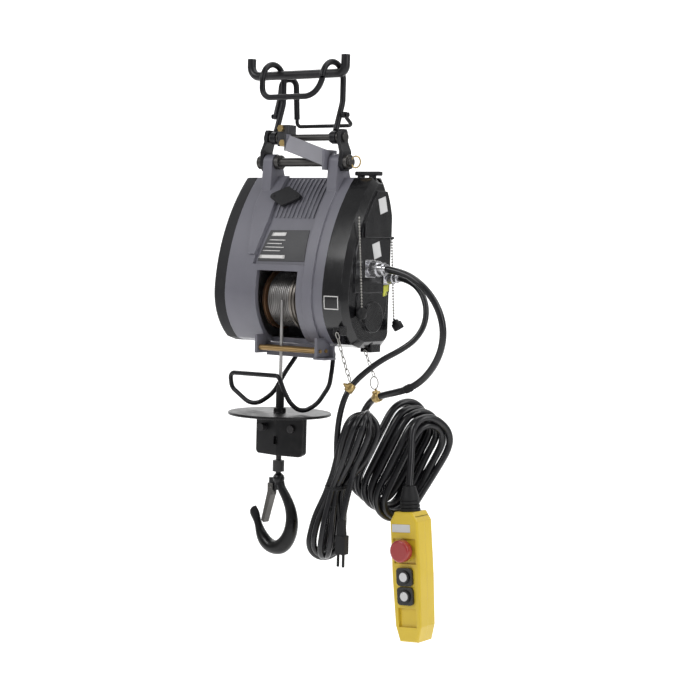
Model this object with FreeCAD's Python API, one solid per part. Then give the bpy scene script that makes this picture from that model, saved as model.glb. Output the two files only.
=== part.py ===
"""Portable electric wire-rope hoist, hung from a round bar by a double pipe hook.

Frame: millimetres, +X towards the cable end, -Y towards the rope side, +Z up.
The origin is the middle of the round hanging bar that carries the whole hoist.
Every free pivot of the suspension lies straight below it, in the plane Y = 0.
"""
import FreeCAD, Part
import math
import os

V = FreeCAD.Vector

# ---- driving dimensions (mm) ----
# suspension
YOKE_DIA = 13.0
YOKE_LEFT_X = -104.0
YOKE_RIGHT_X = 69.0
YOKE_TOP_Z = 26.0
YOKE_LEFT_BEND_R = 15.0
YOKE_RIGHT_BEND_R = 11.0
HOOK_ROD_DIA = 8.5
HOOK_X = 54.5
ARCH_R = 25.0
RUN_GAP = 0.05
UPPER_PIVOT_Z = -91.5
LOWER_PIVOT_Z = -127.0
UPPER_ROD_R = 5.0
LOWER_BAR_R = 6.5
LINK_IN_X = 69.2
LINK_THICK = 6.0
LINK_LEAN = 5.0
BAIL_DIA = 5.5
BAIL_LOOP_DIA = 8.5
BAIL_AXIS = (9.0, -59.0)
BAIL_PIN_R = 2.2
BAIL_PIN_L = 15.0
HOOK_EYE_R = 9.8
EAR_X = (51.5, 68.5)
EAR_R = 12.0
BRACE_BOLT_XZ = ((-37.0, UPPER_PIVOT_Z + 13.5), (-33.0, UPPER_PIVOT_Z - 8.0))

# casing
CASE_X = (-92.0, 86.0)
LEFT_END_X = -117.0
RIM_END_X = 118.0
END_FACE_X = 126.0
WALL = 7.0
COVER_WALL = 3.0
FACET_DEPTH = 4.0
RIB_HEIGHT = 2.0
WINDOW_X = (-35.0, 39.0)
WINDOW_TOP_Z = -285.0
SOCKET_YZ = ((-11.5, -278.0), (31.0, -291.0))
SOCKET_BARREL_R = 7.9
CHAIN_EYE_FRONT = (116.0, -60.0, -367.0)
CHAIN_EYE_REAR = (113.0, 18.0, -393.0)
CONNECTOR_START_X = END_FACE_X + 8.02
CONTROL_CONNECTOR_L = 25.0
POWER_CONNECTOR_L = 18.0
BEAD_FRONT = ((129.5, -41.0, -207.0), (138.0, -41.0, -331.0))
BEAD_REAR = ((128.5, 42.0, -236.0), (135.0, 43.0, -350.0))
BEAD_DIA = 2.4

# drive train: motor axis, drum axis and two gear stages
MOTOR_YZ = (5.0, -240.0)
DRUM_YZ = (-2.0, -327.0)
FAST_MODULE = 1.25
FAST_PINION_TEETH = 12
FAST_GEAR_TEETH = 44
SLOW_MODULE = 1.5
SLOW_PINION_TEETH = 14
SLOW_GEAR_TEETH = 56
PRESSURE_ANGLE = math.radians(20.0)
DRUM_SHAFT_R = 7.5
DRUM_BARREL_R = 30.0
DRUM_FLANGE_R = 44.8
DRUM_RIM_R = 43.0
WINDING_R = 41.0
ROPE_DIA = 5.0
FAST_REACH = FAST_MODULE * (FAST_PINION_TEETH + FAST_GEAR_TEETH) / 2
SLOW_REACH = SLOW_MODULE * (SLOW_PINION_TEETH + SLOW_GEAR_TEETH) / 2

# load line
ROPE_X = 0.0
ROPE_Y = DRUM_YZ[0] - WINDING_R - ROPE_DIA / 2
DISC_Z = -491.5
DISC_R = 75.0
DISC_THICK = 4.0
LEVER_DIA = 6.6
LEVER_AXIS = (0.0, -399.0)
SLEEVE_Z = (-483.0, -450.0)
SLEEVE_R = 6.0
COUNTERWEIGHT_X = ROPE_X + 2.0
COUNTERWEIGHT_BOLT_X = (COUNTERWEIGHT_X - 25.0, COUNTERWEIGHT_X + 25.0)
COUNTERWEIGHT_BOLT_Z = -512.0
COUNTERWEIGHT_SLOT_Z = (-536.0, -524.0)
STEM_R = 4.0
SWIVEL_Z = (-584.0, -560.0)
LATCH_AXIS = (-10.5, -599.0)
GUIDE_ROD_Y = (ROPE_Y - 6.8, ROPE_Y + 6.8)
GUIDE_ROD_Z = -397.0
GUIDE_PIN_R = 2.5

# cables
POWER_DIA = 8.5
CONTROL_DIA = 10.0
POWER_EXIT_X = CONNECTOR_START_X + POWER_CONNECTOR_L
CONTROL_EXIT_X = CONNECTOR_START_X + CONTROL_CONNECTOR_L
POWER_ROUTE = [
    (POWER_EXIT_X, 31, -291), (166, 30, -293), (184, 28, -302), (198, 25, -316), (206, 21, -335),
    (206, 16, -356), (196, 9, -376), (178, 0, -391), (158, -13, -404), (142, -28, -420),
    (130, -43, -437), (122, -53, -456), (116, -57, -484), (113, -58, -516), (114, -58, -548)]
CONTROL_ROUTE = [
    (CONTROL_EXIT_X, -11.5, -278), (184, -12.5, -281), (209, -13, -291), (231, -12, -308),
    (247, -10, -331), (254, -8, -357), (250, -5, -384), (236, -1, -409), (214, 4, -431),
    (187, 8, -446), (157, 12, -454), (130, 16, -461), (112, 22, -470), (100, 22, -488),
    (98, 17, -510), (103, 8, -529), (111.6, 0, -543)]
DROP_ROUTE = [(191, 15, -507), (196, 8, -531), (200, 0, -556), (202.4, -5, -580)]
POWER_CLAMP = (126, -48, -446)
CONTROL_CLAMP = (127, 17, -462)
COIL_CENTRE = V(163, 30, -550)
COIL_LONG = V(0.299, 0.342, 0.890)
COIL_SHORT = V(0.406, 0.814, -0.427)
COIL_STACK = V(65, -3, -35)
PLUG_XY = (137.0, -72.0)
PLUG_Z = (-676.0, -650.0)

# pendant
PENDANT_TOP = V(205.5, -5, -615)
PENDANT_TILT = -5.0
PENDANT_HALF_D = 19.0
E_STOP_Z = -53.0
BUTTON_Z = (-90.0, -117.0)


# ---- small building blocks ----
def box(x0, x1, y0, y1, z0, z1):
    return Part.makeBox(x1 - x0, y1 - y0, z1 - z0, V(x0, y0, z0))


def cyl_x(yz, r, x0, x1):
    return Part.makeCylinder(r, x1 - x0, V(x0, yz[0], yz[1]), V(1, 0, 0))


def cyl_y(xz, r, y0, y1):
    return Part.makeCylinder(r, y1 - y0, V(xz[0], y0, xz[1]), V(0, 1, 0))


def cyl_z(xy, r, z0, z1):
    return Part.makeCylinder(r, z1 - z0, V(xy[0], xy[1], z0), V(0, 0, 1))


def ring_x(yz, r_in, r_out, x0, x1):
    return cyl_x(yz, r_out, x0, x1).cut(cyl_x(yz, r_in, x0 - 1, x1 + 1))


def ring_z(xy, r_in, r_out, z0, z1):
    return cyl_z(xy, r_out, z0, z1).cut(cyl_z(xy, r_in, z0 - 1, z1 + 1))


def cone_z(xy, r_low, r_high, z0, z1):
    return Part.makeCone(r_low, r_high, z1 - z0, V(xy[0], xy[1], z0), V(0, 0, 1))


def prism_x(yz_points, x0, x1):
    pts = [V(x0, y, z) for y, z in yz_points]
    return Part.Face(Part.makePolygon(pts + pts[:1])).extrude(V(x1 - x0, 0, 0))


def prism_y(xz_points, y0, y1):
    pts = [V(x, y0, z) for x, z in xz_points]
    return Part.Face(Part.makePolygon(pts + pts[:1])).extrude(V(0, y1 - y0, 0))


def fuse(shapes):
    return shapes[0].multiFuse(shapes[1:]).removeSplitter()


def largest(shape):
    """The biggest of the solids that a cut leaves."""
    return max(shape.Solids, key=lambda solid: solid.Volume)


def unit(v):
    return V(v).normalize()


def turn_at(points, i):
    a = unit(points[i] - points[i - 1])
    b = unit(points[i + 1] - points[i])
    return a.getAngle(b)


def rounded_route(points, radii):
    """Straight runs joined by tangent arcs; one radius for each inner point."""
    edges = []
    start = points[0]
    for i in range(1, len(points) - 1):
        turn = turn_at(points, i)
        back = unit(points[i - 1] - points[i])
        ahead = unit(points[i + 1] - points[i])
        leg = radii[i - 1] * math.tan(turn / 2)
        p_in = points[i] + back * leg
        p_out = points[i] + ahead * leg
        centre_dir = unit(back + ahead)
        centre = points[i] + centre_dir * (radii[i - 1] / math.cos(turn / 2))
        p_mid = centre - centre_dir * radii[i - 1]
        edges.append(Part.LineSegment(start, p_in).toShape())
        edges.append(Part.Arc(p_in, p_mid, p_out).toShape())
        start = p_out
    edges.append(Part.LineSegment(start, points[-1]).toShape())
    return Part.Wire(edges)


def swept_rod(points, radii, diameter):
    """A round rod bent along a route of tangent runs and arcs."""
    pts = [V(*p) for p in points]
    path = rounded_route(pts, radii)
    start_dir = unit(pts[1] - pts[0])
    section = Part.Wire(Part.makeCircle(diameter / 2, pts[0], start_dir))
    return path.makePipeShell([section], True, False), path


def bent_rod(points, radii, diameter):
    return swept_rod(points, radii, diameter)[0]


def cord_tube(name, points, diameter):
    """A limp cable: every arc is as large as its two runs allow."""
    pts = [V(*p) for p in points]
    runs = [(pts[i + 1] - pts[i]).Length for i in range(len(pts) - 1)]
    radii = []
    for i in range(1, len(pts) - 1):
        shorter = min(runs[i - 1], runs[i])
        radii.append(0.45 * shorter / math.tan(turn_at(pts, i) / 2))
    tube, path = swept_rod(points, radii, diameter)
    expected = math.pi * diameter ** 2 / 4 * path.Length
    print(name, "length %.0f" % path.Length, "tightest %.1f d" % (min(radii) / diameter),
          "runs", [round(r) for r in runs], "volume ratio %.4f" % (tube.Volume / expected))
    return tube


def save(name, shapes):
    solids = [s for shape in shapes for s in shape.Solids]
    Part.makeCompound(solids).exportStep("parts/%s.step" % name)
    print("%-22s %2d solids %9.1f cm3" % (name, len(solids), sum(s.Volume for s in solids) / 1000))


# ---- suspension ----
def hanging_yoke():
    points = [
        (YOKE_LEFT_X, 0, YOKE_TOP_Z),
        (YOKE_LEFT_X, 0, 0),
        (YOKE_RIGHT_X, 0, 0),
        (YOKE_RIGHT_X, 0, YOKE_TOP_Z),
    ]
    return [bent_rod(points, [YOKE_LEFT_BEND_R, YOKE_RIGHT_BEND_R], YOKE_DIA)]


def pipe_hook():
    """One bent rod: a left and a right arch over the bar, joined by a low front bar.

    Its two ends are eyes on the upper cross rod, and each rear leg has a pin for the bail.
    """
    reach = ARCH_R - HOOK_ROD_DIA / 2 - YOKE_DIA / 2 - 0.09
    arch_y = -10.0
    arch_z = -math.sqrt(reach ** 2 - arch_y ** 2)
    front_y = arch_y - ARCH_R
    rear_y = arch_y + ARCH_R
    top_z = arch_z + ARCH_R
    front_z = -35.0
    eye_top_z = UPPER_PIVOT_Z + 10.0
    knee_z = -40.0
    points = [
        (-HOOK_X, 0, eye_top_z),
        (-HOOK_X, rear_y, knee_z),
        (-HOOK_X, rear_y, top_z),
        (-HOOK_X, front_y, top_z),
        (-HOOK_X, front_y, front_z),
        (HOOK_X - 12, front_y, front_z),
        (HOOK_X, front_y, front_z + 24),
        (HOOK_X, front_y, top_z),
        (HOOK_X, rear_y, top_z),
        (HOOK_X, rear_y, knee_z),
        (HOOK_X, 0, eye_top_z),
    ]
    arch = ARCH_R - 0.01
    radii = [30.0, arch, arch, 15.0, 32.0, 14.0, arch, arch, 30.0]
    pieces = [bent_rod(points, radii, HOOK_ROD_DIA)]
    for side in (-1, 1):
        leg_x = side * HOOK_X
        eye_x = leg_x - HOOK_ROD_DIA / 2
        pin_x = sorted((leg_x, leg_x + side * BAIL_PIN_L))
        head_x = sorted((leg_x + side * (BAIL_PIN_L - 1.5), leg_x + side * BAIL_PIN_L))
        pieces.append(cyl_x((0, UPPER_PIVOT_Z), HOOK_EYE_R, eye_x, eye_x + HOOK_ROD_DIA))
        pieces.append(cyl_z((leg_x, 0), HOOK_ROD_DIA / 2, UPPER_PIVOT_Z + 8, UPPER_PIVOT_Z + 10))
        pieces.append(cyl_x(BAIL_AXIS, BAIL_PIN_R, *pin_x))
        pieces.append(cyl_x(BAIL_AXIS, 3.6, *head_x))
    return [fuse(pieces).cut(cyl_x((0, UPPER_PIVOT_Z), UPPER_ROD_R + RUN_GAP, -90, 90))]


def safety_bail():
    """Rod behind the hook: a tall loop in thicker rod at the left, then a low bar to the right."""
    y0, z0 = BAIL_AXIS
    left, right = HOOK_X + 9, HOOK_X + 8
    inner = HOOK_X - 16
    rear_y = 29.0
    points = [
        (-left, y0, z0),
        (-left, y0 + 10, z0 + 30),
        (-left, y0 + 13, z0 + 55),
        (-inner, y0 + 15, z0 + 55),
        (-inner, rear_y, z0 - 14),
        (right, rear_y, z0 - 14),
        (right, y0, z0),
    ]
    radii = [40.0, 11.0, 11.0, 7.0, 7.0]
    loop_foot = V(*points[3]) + (V(*points[4]) - V(*points[3])) * 0.85
    loop = points[:4] + [tuple(loop_foot)]
    pieces = [bent_rod(points, radii, BAIL_DIA), bent_rod(loop, radii[:3], BAIL_LOOP_DIA)]
    for side in (-1, 1):
        boss_x = sorted((side * (HOOK_X + 5), side * (HOOK_X + 11)))
        pieces.append(cyl_x(BAIL_AXIS, BAIL_PIN_R + 2.3, *boss_x))
    return [fuse(pieces).cut(cyl_x(BAIL_AXIS, BAIL_PIN_R + RUN_GAP, -90, 90))]


def link_plate(side):
    """Side plate of the link frame; its upper end leans in towards the hook's eye."""
    low_x = side * LINK_IN_X
    top_x = side * (LINK_IN_X - LINK_LEAN)
    thick = side * LINK_THICK
    foot_z = LOWER_PIVOT_Z - 13
    bend_z = (LOWER_PIVOT_Z + 15, UPPER_PIVOT_Z - 6.5)
    crown_z = UPPER_PIVOT_Z + 11.5
    profile = [
        (low_x, foot_z), (low_x + thick, foot_z), (low_x + thick, bend_z[0]), (top_x + thick, bend_z[1]),
        (top_x + thick, crown_z), (top_x, crown_z), (top_x, bend_z[1]), (low_x, bend_z[0])]
    face = [
        (-11, foot_z + 7), (-6, foot_z), (6, foot_z), (11, foot_z + 7), (11, bend_z[0]),
        (8, crown_z - 4), (5, crown_z), (-5, crown_z), (-8, crown_z - 4), (-11, bend_z[0])]
    plate = prism_y(profile, -11, 11).common(prism_x(face, -90, 90))
    plate = plate.cut(cyl_x((0, UPPER_PIVOT_Z), UPPER_ROD_R, -90, 90))
    return plate.cut(cyl_x((0, LOWER_PIVOT_Z), LOWER_BAR_R, -90, 90)).Solids


def upper_cross_rod():
    """Rod through both link plates and the hook's eyes, with a collar each side of each eye."""
    axis = (0, UPPER_PIVOT_Z)
    end = LINK_IN_X - LINK_LEAN + LINK_THICK
    collar_w = 3.0
    head_r = 6.4
    pieces = [
        cyl_x(axis, UPPER_ROD_R, -end, end),
        cyl_x(axis, head_r, -end - collar_w, -end),
        cyl_x(axis, head_r, end, end + collar_w),
    ]
    for side in (-1, 1):
        for offset in (-HOOK_ROD_DIA / 2 - collar_w - 0.3, HOOK_ROD_DIA / 2 + 0.3):
            x0 = side * HOOK_X + offset
            pieces.append(cyl_x(axis, 8.0, x0, x0 + collar_w))
    return [fuse(pieces)]


def lower_pivot_bar():
    """Bar that carries the casing's ears, with a head, a nut and a middle collar."""
    axis = (0, LOWER_PIVOT_Z)
    end = LINK_IN_X + LINK_THICK
    bar = cyl_x(axis, LOWER_BAR_R, -end - 8, end + 10)
    head = cyl_x(axis, 10.0, -end - 8, -end)
    nut = cyl_x(axis, 10.5, end, end + 6)
    collar = cyl_x(axis, 10.5, -EAR_X[0] + 0.5, -EAR_X[0] + 8)
    return [fuse([bar, head, nut, collar]).cut(lock_ring(1.25))]


def lock_ring(wire_r):
    """Round split ring whose wire passes through the bar's right end."""
    ring_r = 8.2
    hole_x = LINK_IN_X + LINK_THICK + 8
    return Part.makeTorus(ring_r, wire_r, V(hole_x + ring_r, 0, LOWER_PIVOT_Z), V(0, 1, 0))


def brace_plate():
    """Slanting strip from a clamp on the upper rod down to the inner face of the right ear."""
    low_x = EAR_X[0] - 4.5
    left_x = -22.0
    thick = 3.5
    start = V(left_x, -17, UPPER_PIVOT_Z - 20)
    up = unit(V(0, 8.4, 22.8))
    across = V(0, -up.z, up.y) * thick
    corners = [start, start + up * 24, start + up * 24 + across, start + across]
    strip = Part.Face(Part.makePolygon(corners + corners[:1])).extrude(V(low_x + 1 - left_x, 0, -22))
    foot = box(low_x - 1, low_x + 3, -20, 10, LOWER_PIVOT_Z - 12, LOWER_PIVOT_Z + 17)
    heel = box(left_x - 4, left_x, -17, -6, UPPER_PIVOT_Z - 19.5, UPPER_PIVOT_Z + 4.5)
    clamp = box(left_x - 22, left_x - 2, -10, 8, UPPER_PIVOT_Z - 12.5, UPPER_PIVOT_Z + 18.5)
    brace = fuse([strip, foot, heel, clamp])
    brace = brace.cut(cyl_x((0, UPPER_PIVOT_Z), UPPER_ROD_R, -50, -20))
    brace = brace.cut(cyl_x((0, LOWER_PIVOT_Z), LOWER_BAR_R, 40, 60))
    for xz in BRACE_BOLT_XZ:
        brace = brace.cut(cyl_y(xz, 2.5, -30, 30))
    return [largest(brace)]


def link_fasteners():
    """Two bolts through the brace's clamp, and the split ring in the pivot bar's end."""
    fasteners = [lock_ring(1.1)]
    for xz in BRACE_BOLT_XZ:
        shank = cyl_y(xz, 2.49, -13, 12)
        head = hexagon_y(xz, 4.6, -14, -10)
        nut = hexagon_y(xz, 4.6, 8, 12)
        fasteners.append(fuse([shank, head, nut]))
    return fasteners


def hexagon_y(xz, half_width, y0, y1):
    r = half_width / math.cos(math.pi / 6)
    turns = [k * math.pi / 3 for k in range(6)]
    return prism_y([(xz[0] + r * math.cos(a), xz[1] + r * math.sin(a)) for a in turns], y0, y1)


# ---- casing ----
def case_outline(x):
    """Side profile of the casing at one X: arched front, flat rear, flat foot."""
    top_front = V(x, 5, -149)
    chest = V(x, -65, -310)
    foot_front = V(x, -34, -386)
    foot = V(x, -17, -391)
    foot_rear = V(x, 28, -391)
    heel = V(x, 50, -366)
    back = V(x, 51, -235)
    top_rear = V(x, 26, -149)
    edges = [
        Part.Arc(top_front, V(x, -44, -226), chest).toShape(),
        Part.Arc(chest, V(x, -59.5, -350), foot_front).toShape(),
        Part.LineSegment(foot_front, foot).toShape(),
        Part.LineSegment(foot, foot_rear).toShape(),
        Part.Arc(foot_rear, V(x, 43.5, -384.5), heel).toShape(),
        Part.LineSegment(heel, back).toShape(),
        Part.Arc(back, V(x, 44, -184), top_rear).toShape(),
        Part.LineSegment(top_rear, top_front).toShape(),
    ]
    return Part.Wire(edges)


def case_prism(grow, x0, x1):
    """The casing profile grown (or shrunk) by a distance, as a solid between two X."""
    wire = case_outline(x0)
    if grow:
        wire = wire.makeOffset2D(grow, 2)
    return Part.Face(wire).extrude(V(x1 - x0, 0, 0))


def case_taper(x0, x1, shrink):
    """Bevelled end: the profile shrinks from one X to the other."""
    wires = [case_outline(x0), case_outline(x1).makeOffset2D(-shrink, 2)]
    return Part.makeLoft(wires, True, True)


def ear(x0, x1):
    """Lug cast on the casing, from its rounded top with the pivot hole down to the skin."""
    side = [(-EAR_R, LOWER_PIVOT_Z), (EAR_R, LOWER_PIVOT_Z), (22, -156), (-12, -184), (-15, -166)]
    return prism_x(side, x0, x1).fuse(cyl_x((0, LOWER_PIVOT_Z), EAR_R, x0, x1))


def main_casing():
    x0, x1 = CASE_X
    facet = [(-34, -140), (-34, -215), (-45, -276), (EAR_X[0], -276), (EAR_X[0], -140)]
    left_band = [(-EAR_X[1], -140), (-EAR_X[1], -188), (-55, -262), (-43, -262), (-34, -215), (-34, -140)]
    right_band = [(EAR_X[0], -140), (EAR_X[1], -140), (EAR_X[1], -384), (EAR_X[0], -384)]
    front_half = box(-130, 130, -90, 8, -386, -140)
    shell = case_prism(0, x0, x1)
    raised = case_prism(2.5, x0 + 5, x1 - 5).common(front_half)
    bands = [raised.common(prism_y(outline, -90, 10)) for outline in (left_band, right_band)]
    ears = [ear(-EAR_X[1], -EAR_X[0]), ear(EAR_X[0], EAR_X[1])]
    body = fuse([shell] + bands + ears)
    sunk = case_prism(0, -60, 60).cut(case_prism(-FACET_DEPTH, -61, 61))
    sunk = sunk.common(front_half).common(prism_y(facet, -90, 10))
    ribs = [box(x, x + 2.6, -90, 20, -208, -140) for x in rib_places()]
    low_skin = case_prism(RIB_HEIGHT - FACET_DEPTH, -60, 60)
    sunk = sunk.cut(ribs[0].multiFuse(ribs[1:]).common(low_skin))
    body = body.cut(sunk)
    body = body.cut(case_prism(-WALL, x0 - 1, x1 + 1))
    for lug_x in (-60.0, 60.0):
        body = body.cut(cyl_x((0, LOWER_PIVOT_Z), LOWER_BAR_R + RUN_GAP, lug_x - 15, lug_x + 15))
    window = box(WINDOW_X[0], WINDOW_X[1], -90, -20, -400, WINDOW_TOP_Z)
    body = body.cut(window)
    for yz in cover_screw_places():
        body = body.cut(cyl_x(yz, 2.0, x0 - 1, x0 + 13))
        body = body.cut(cyl_x(yz, 2.0, x1 - 13, x1 + 1))
    return body.Solids


def rib_places():
    return [-28.0 + 7.6 * k for k in range(10)]


def cover_screw_places():
    return [(17, -152.6), (47.4, -250), (47.4, -340), (5, -387.4)]


def left_end_cover():
    x0 = CASE_X[0]
    outer = case_prism(0, LEFT_END_X, x0)
    rim = [e for e in outer.Edges if all(abs(v.X - LEFT_END_X) < 0.01 for v in e.Vertexes)]
    outer = outer.makeFillet(9.0, rim)
    cover = outer.cut(case_prism(-COVER_WALL, LEFT_END_X + COVER_WALL, x0 + 1).cut(screw_posts(x0, -1)))
    for yz in cover_screw_places():
        cover = cover.cut(cyl_x(yz, 2.2, x0 - 30, x0 + 1))
        cover = cover.cut(cyl_x(yz, 4.2, x0 - 30, x0 - 12))
    vents = [box(LEFT_END_X - 5, LEFT_END_X + 6, -22, 32, z, z + 4) for z in range(-212, -272, -10)]
    return cover.cut(vents[0].multiFuse(vents[1:])).Solids


def screw_posts(x, way):
    ends = sorted((x, x + way * 40))
    posts = [cyl_x(yz, 7.0, ends[0], ends[1]) for yz in cover_screw_places()]
    return posts[0].multiFuse(posts[1:])


def right_end_cover():
    x0 = CASE_X[1]
    outer = case_prism(0, x0, RIM_END_X).fuse(case_taper(RIM_END_X, END_FACE_X, 9.0))
    box_lid = box(END_FACE_X - 1, END_FACE_X + 5, -26, 38, -234, -168)
    box_lid = box_lid.common(case_prism(-11.0, END_FACE_X - 1, END_FACE_X + 6))
    lip = box(END_FACE_X - 1, END_FACE_X + 2.5, -44, 41, -312, -236)
    lip = lip.common(case_prism(-11.0, END_FACE_X - 1, END_FACE_X + 6))
    boss = cyl_x(DRUM_YZ, 36.0, END_FACE_X - 1, END_FACE_X + 2.0)
    hub = cyl_x((DRUM_YZ[0] + 2, DRUM_YZ[1] - 20), 22.0, END_FACE_X - 1, END_FACE_X + 4.5)
    cover = fuse([outer.removeSplitter(), box_lid, lip, boss, hub])
    hollow = case_prism(-COVER_WALL, x0 - 1, RIM_END_X - 2)
    cover = cover.cut(hollow.cut(screw_posts(x0, 1)))
    for yz in cover_screw_places():
        cover = cover.cut(cyl_x(yz, 2.2, x0 - 1, x0 + 50))
        cover = cover.cut(cyl_x(yz, 4.2, x0 + 12, x0 + 50))
    chain_lugs = [box(108, 121, -66, -52, -372, -360), box(104, 122, 6, 30, -398, -384)]
    bead_tops = (BEAD_FRONT[0], BEAD_REAR[0])
    bead_lugs = [box(x - 15, x + 2, y - 3, y + 3, z + 0.3, z + 4) for x, y, z in bead_tops]
    bead_lugs = [lug.cut(case_prism(-COVER_WALL, x0 - 1, RIM_END_X)) for lug in bead_lugs]
    cover = fuse([cover] + chain_lugs + bead_lugs)
    for y, z in SOCKET_YZ:
        cover = cover.cut(cyl_x((y, z), 8.0, RIM_END_X - 10, END_FACE_X + 10))
    for eye in (CHAIN_EYE_FRONT, CHAIN_EYE_REAR):
        cover = cover.cut(cyl_y((eye[0], eye[2]), 2.6, eye[1] - 20, eye[1] + 20))
    return [largest(cover)]


def cover_screws():
    screws = []
    for x, way in ((CASE_X[0], -1), (CASE_X[1], 1)):
        for yz in cover_screw_places():
            ends = sorted((x - way * 11, x + way * 12))
            head = sorted((x + way * 12, x + way * 15.5))
            screws.append(fuse([cyl_x(yz, 1.95, *ends), cyl_x(yz, 3.8, *head)]))
    return screws


# ---- fittings on the casing ----
def skin_patch(outline, depth, thick):
    """Thin sheet that follows the casing's front skin, sunk below it by a depth."""
    sheet = case_prism(thick - depth, -130, 130).cut(case_prism(-depth, -131, 131))
    return sheet.common(prism_y(outline, -90, 0))


def blank_labels():
    """Blank plate on the sunk panel, two blank stickers on the cable end, one on the pendant."""
    plate = skin_patch([(-28, -227), (43, -226), (45, -271), (-40, -272)], FACET_DEPTH, 0.6)
    labels = plate.Solids
    for y, z, x in ((13.8, -188.0, END_FACE_X + 5), (5.0, -252.0, END_FACE_X + 2.5)):
        sticker = box(x, x + 0.5, y - 9, y + 9, z - 11, z + 11)
        sticker.rotate(V(x, y, z), V(1, 0, 0), 16)
        labels.append(sticker)
    labels.append(hung(box(-19, 11, -PENDANT_HALF_D - 0.6, -PENDANT_HALF_D, -28, -17)))
    return labels


def diamond_cover():
    """Terminal cover: a lozenge that lies on the ribs and slopes with the skin."""
    half_w, half_h, thick, foot = 33.0, 16.5, 6.0, 5.0
    corners = [(-half_w, 0), (0, half_h), (half_w, 0), (0, -half_h)]
    lozenge = prism_y(corners, -thick, foot)
    corner_edges = [e for e in lozenge.Edges if abs(e.Vertexes[0].Y - e.Vertexes[1].Y) > 1]
    lozenge = lozenge.makeFillet(5.0, corner_edges)
    screws = [cyl_y((side * 21.0, 0), 2.2, -thick - 1.0, 0) for side in (-1, 1)]
    lid = fuse([lozenge] + screws)
    slope = -math.degrees(math.atan2(17, 30))
    lid.rotate(V(0, 0, 0), V(1, 0, 0), slope)
    lid.translate(V(-17, -18.6, -179.5))
    return [largest(lid.cut(CASING[0]).cut(case_prism(0, -60, 60)))]


def rope_guide_bracket():
    """Two end plates under the drum window that hold the guide rods, joined by a rear strip."""
    y0, y1 = ROPE_Y - 14, ROPE_Y + 14
    ends = [box(x, x + 4, y0, y1 + 4, -405, -378) for x in (-38.0, 71.0)]
    back = box(-38, 84, y1, y1 + 3, -409, -390)
    tongue = box(66, 86, y0 + 4, y1 + 3, -409, -406)
    bracket = fuse(ends + [back, tongue]).cut(case_prism(0, -60, 86))
    for y in GUIDE_ROD_Y:
        bracket = bracket.cut(cyl_x((y, GUIDE_ROD_Z), GUIDE_PIN_R, -60, 90))
    return [largest(bracket)]


def rope_guide_rods():
    rods = []
    for y in GUIDE_ROD_Y:
        roller = cyl_x((y, GUIDE_ROD_Z), 4.0, -33.5, 70.5)
        pin = cyl_x((y, GUIDE_ROD_Z), GUIDE_PIN_R, -40, 77)
        rods.append(fuse([roller, pin]))
    return rods


def carry_handle():
    """Flat grip along the top of the cable end, on two feet."""
    grip = box(84, 124, 9, 21, -146, -140)
    long_edges = [e for e in grip.Edges if abs(e.Vertexes[0].X - e.Vertexes[1].X) > 1]
    grip = grip.makeFillet(2.0, long_edges)
    feet = [box(x, x + 6, 10, 20, -152, -141) for x in (88.0, 108.0)]
    return [largest(fuse([grip] + feet).cut(case_prism(0, 80, RIM_END_X)))]


def panel_socket(yz, r):
    """Fixed half of a cable connector, with its square flange on the end cover."""
    x0 = END_FACE_X + 2.5
    flange = box(x0, x0 + 2, yz[0] - r, yz[0] + r, yz[1] - r, yz[1] + r)
    barrel = cyl_x(yz, SOCKET_BARREL_R, RIM_END_X - 12, END_FACE_X + 8)
    return fuse([flange, barrel])


def cable_connector(yz, r, length, cord):
    """Free half: coupling nut with grip flutes, then the barrel that grips the cable."""
    x0 = CONNECTOR_START_X
    turns = [2 * math.pi * k / 16 for k in range(16)]
    flutes = [cyl_x((yz[0] + r * math.cos(a), yz[1] + r * math.sin(a)), 0.9, x0 - 1, x0 + length)
              for a in turns]
    nut = cyl_x(yz, r, x0, x0 + length * 0.45).cut(flutes[0].multiFuse(flutes[1:]))
    barrel = cyl_x(yz, r * 0.8, x0 + length * 0.45, x0 + length * 0.8)
    clamp = cyl_x(yz, r * 0.62, x0 + length * 0.8, x0 + length)
    return fuse([nut, barrel, clamp]).cut(cord)


def bead_chains():
    """Two bead chains on the cable end, each with a hanging connector cap."""
    pieces = []
    for top, low in (BEAD_FRONT, BEAD_REAR):
        start = V(*top)
        axis = V(*low) - start
        cap = fuse([cyl_z(low[:2], 8.0, low[2] - 18, low[2] - 8), cyl_z(low[:2], 5.5, low[2] - 8, low[2])])
        cap = cap.cut(cyl_z(low[:2], 6.3, low[2] - 19, low[2] - 10))
        chain = Part.makeCylinder(BEAD_DIA / 2, axis.Length - 1, start, axis)
        pieces += [cap, chain.cut(cap)]
    return pieces


# ---- drive train ----
def meeting_point(p, reach_p, q, reach_q):
    """Where circles about two points cross, on the rear side."""
    dy, dz = q[0] - p[0], q[1] - p[1]
    gap = math.hypot(dy, dz)
    along = (reach_p ** 2 - reach_q ** 2 + gap ** 2) / (2 * gap)
    aside = math.sqrt(reach_p ** 2 - along ** 2)
    uy, uz = dy / gap, dz / gap
    return (p[0] + along * uy - aside * uz, p[1] + along * uz + aside * uy)


LAY_YZ = meeting_point(MOTOR_YZ, FAST_REACH, DRUM_YZ, SLOW_REACH)
FAST_MESH = math.atan2(LAY_YZ[1] - MOTOR_YZ[1], LAY_YZ[0] - MOTOR_YZ[0])
SLOW_MESH = math.atan2(DRUM_YZ[1] - LAY_YZ[1], DRUM_YZ[0] - LAY_YZ[0])


def involute(a):
    return math.tan(a) - a


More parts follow.
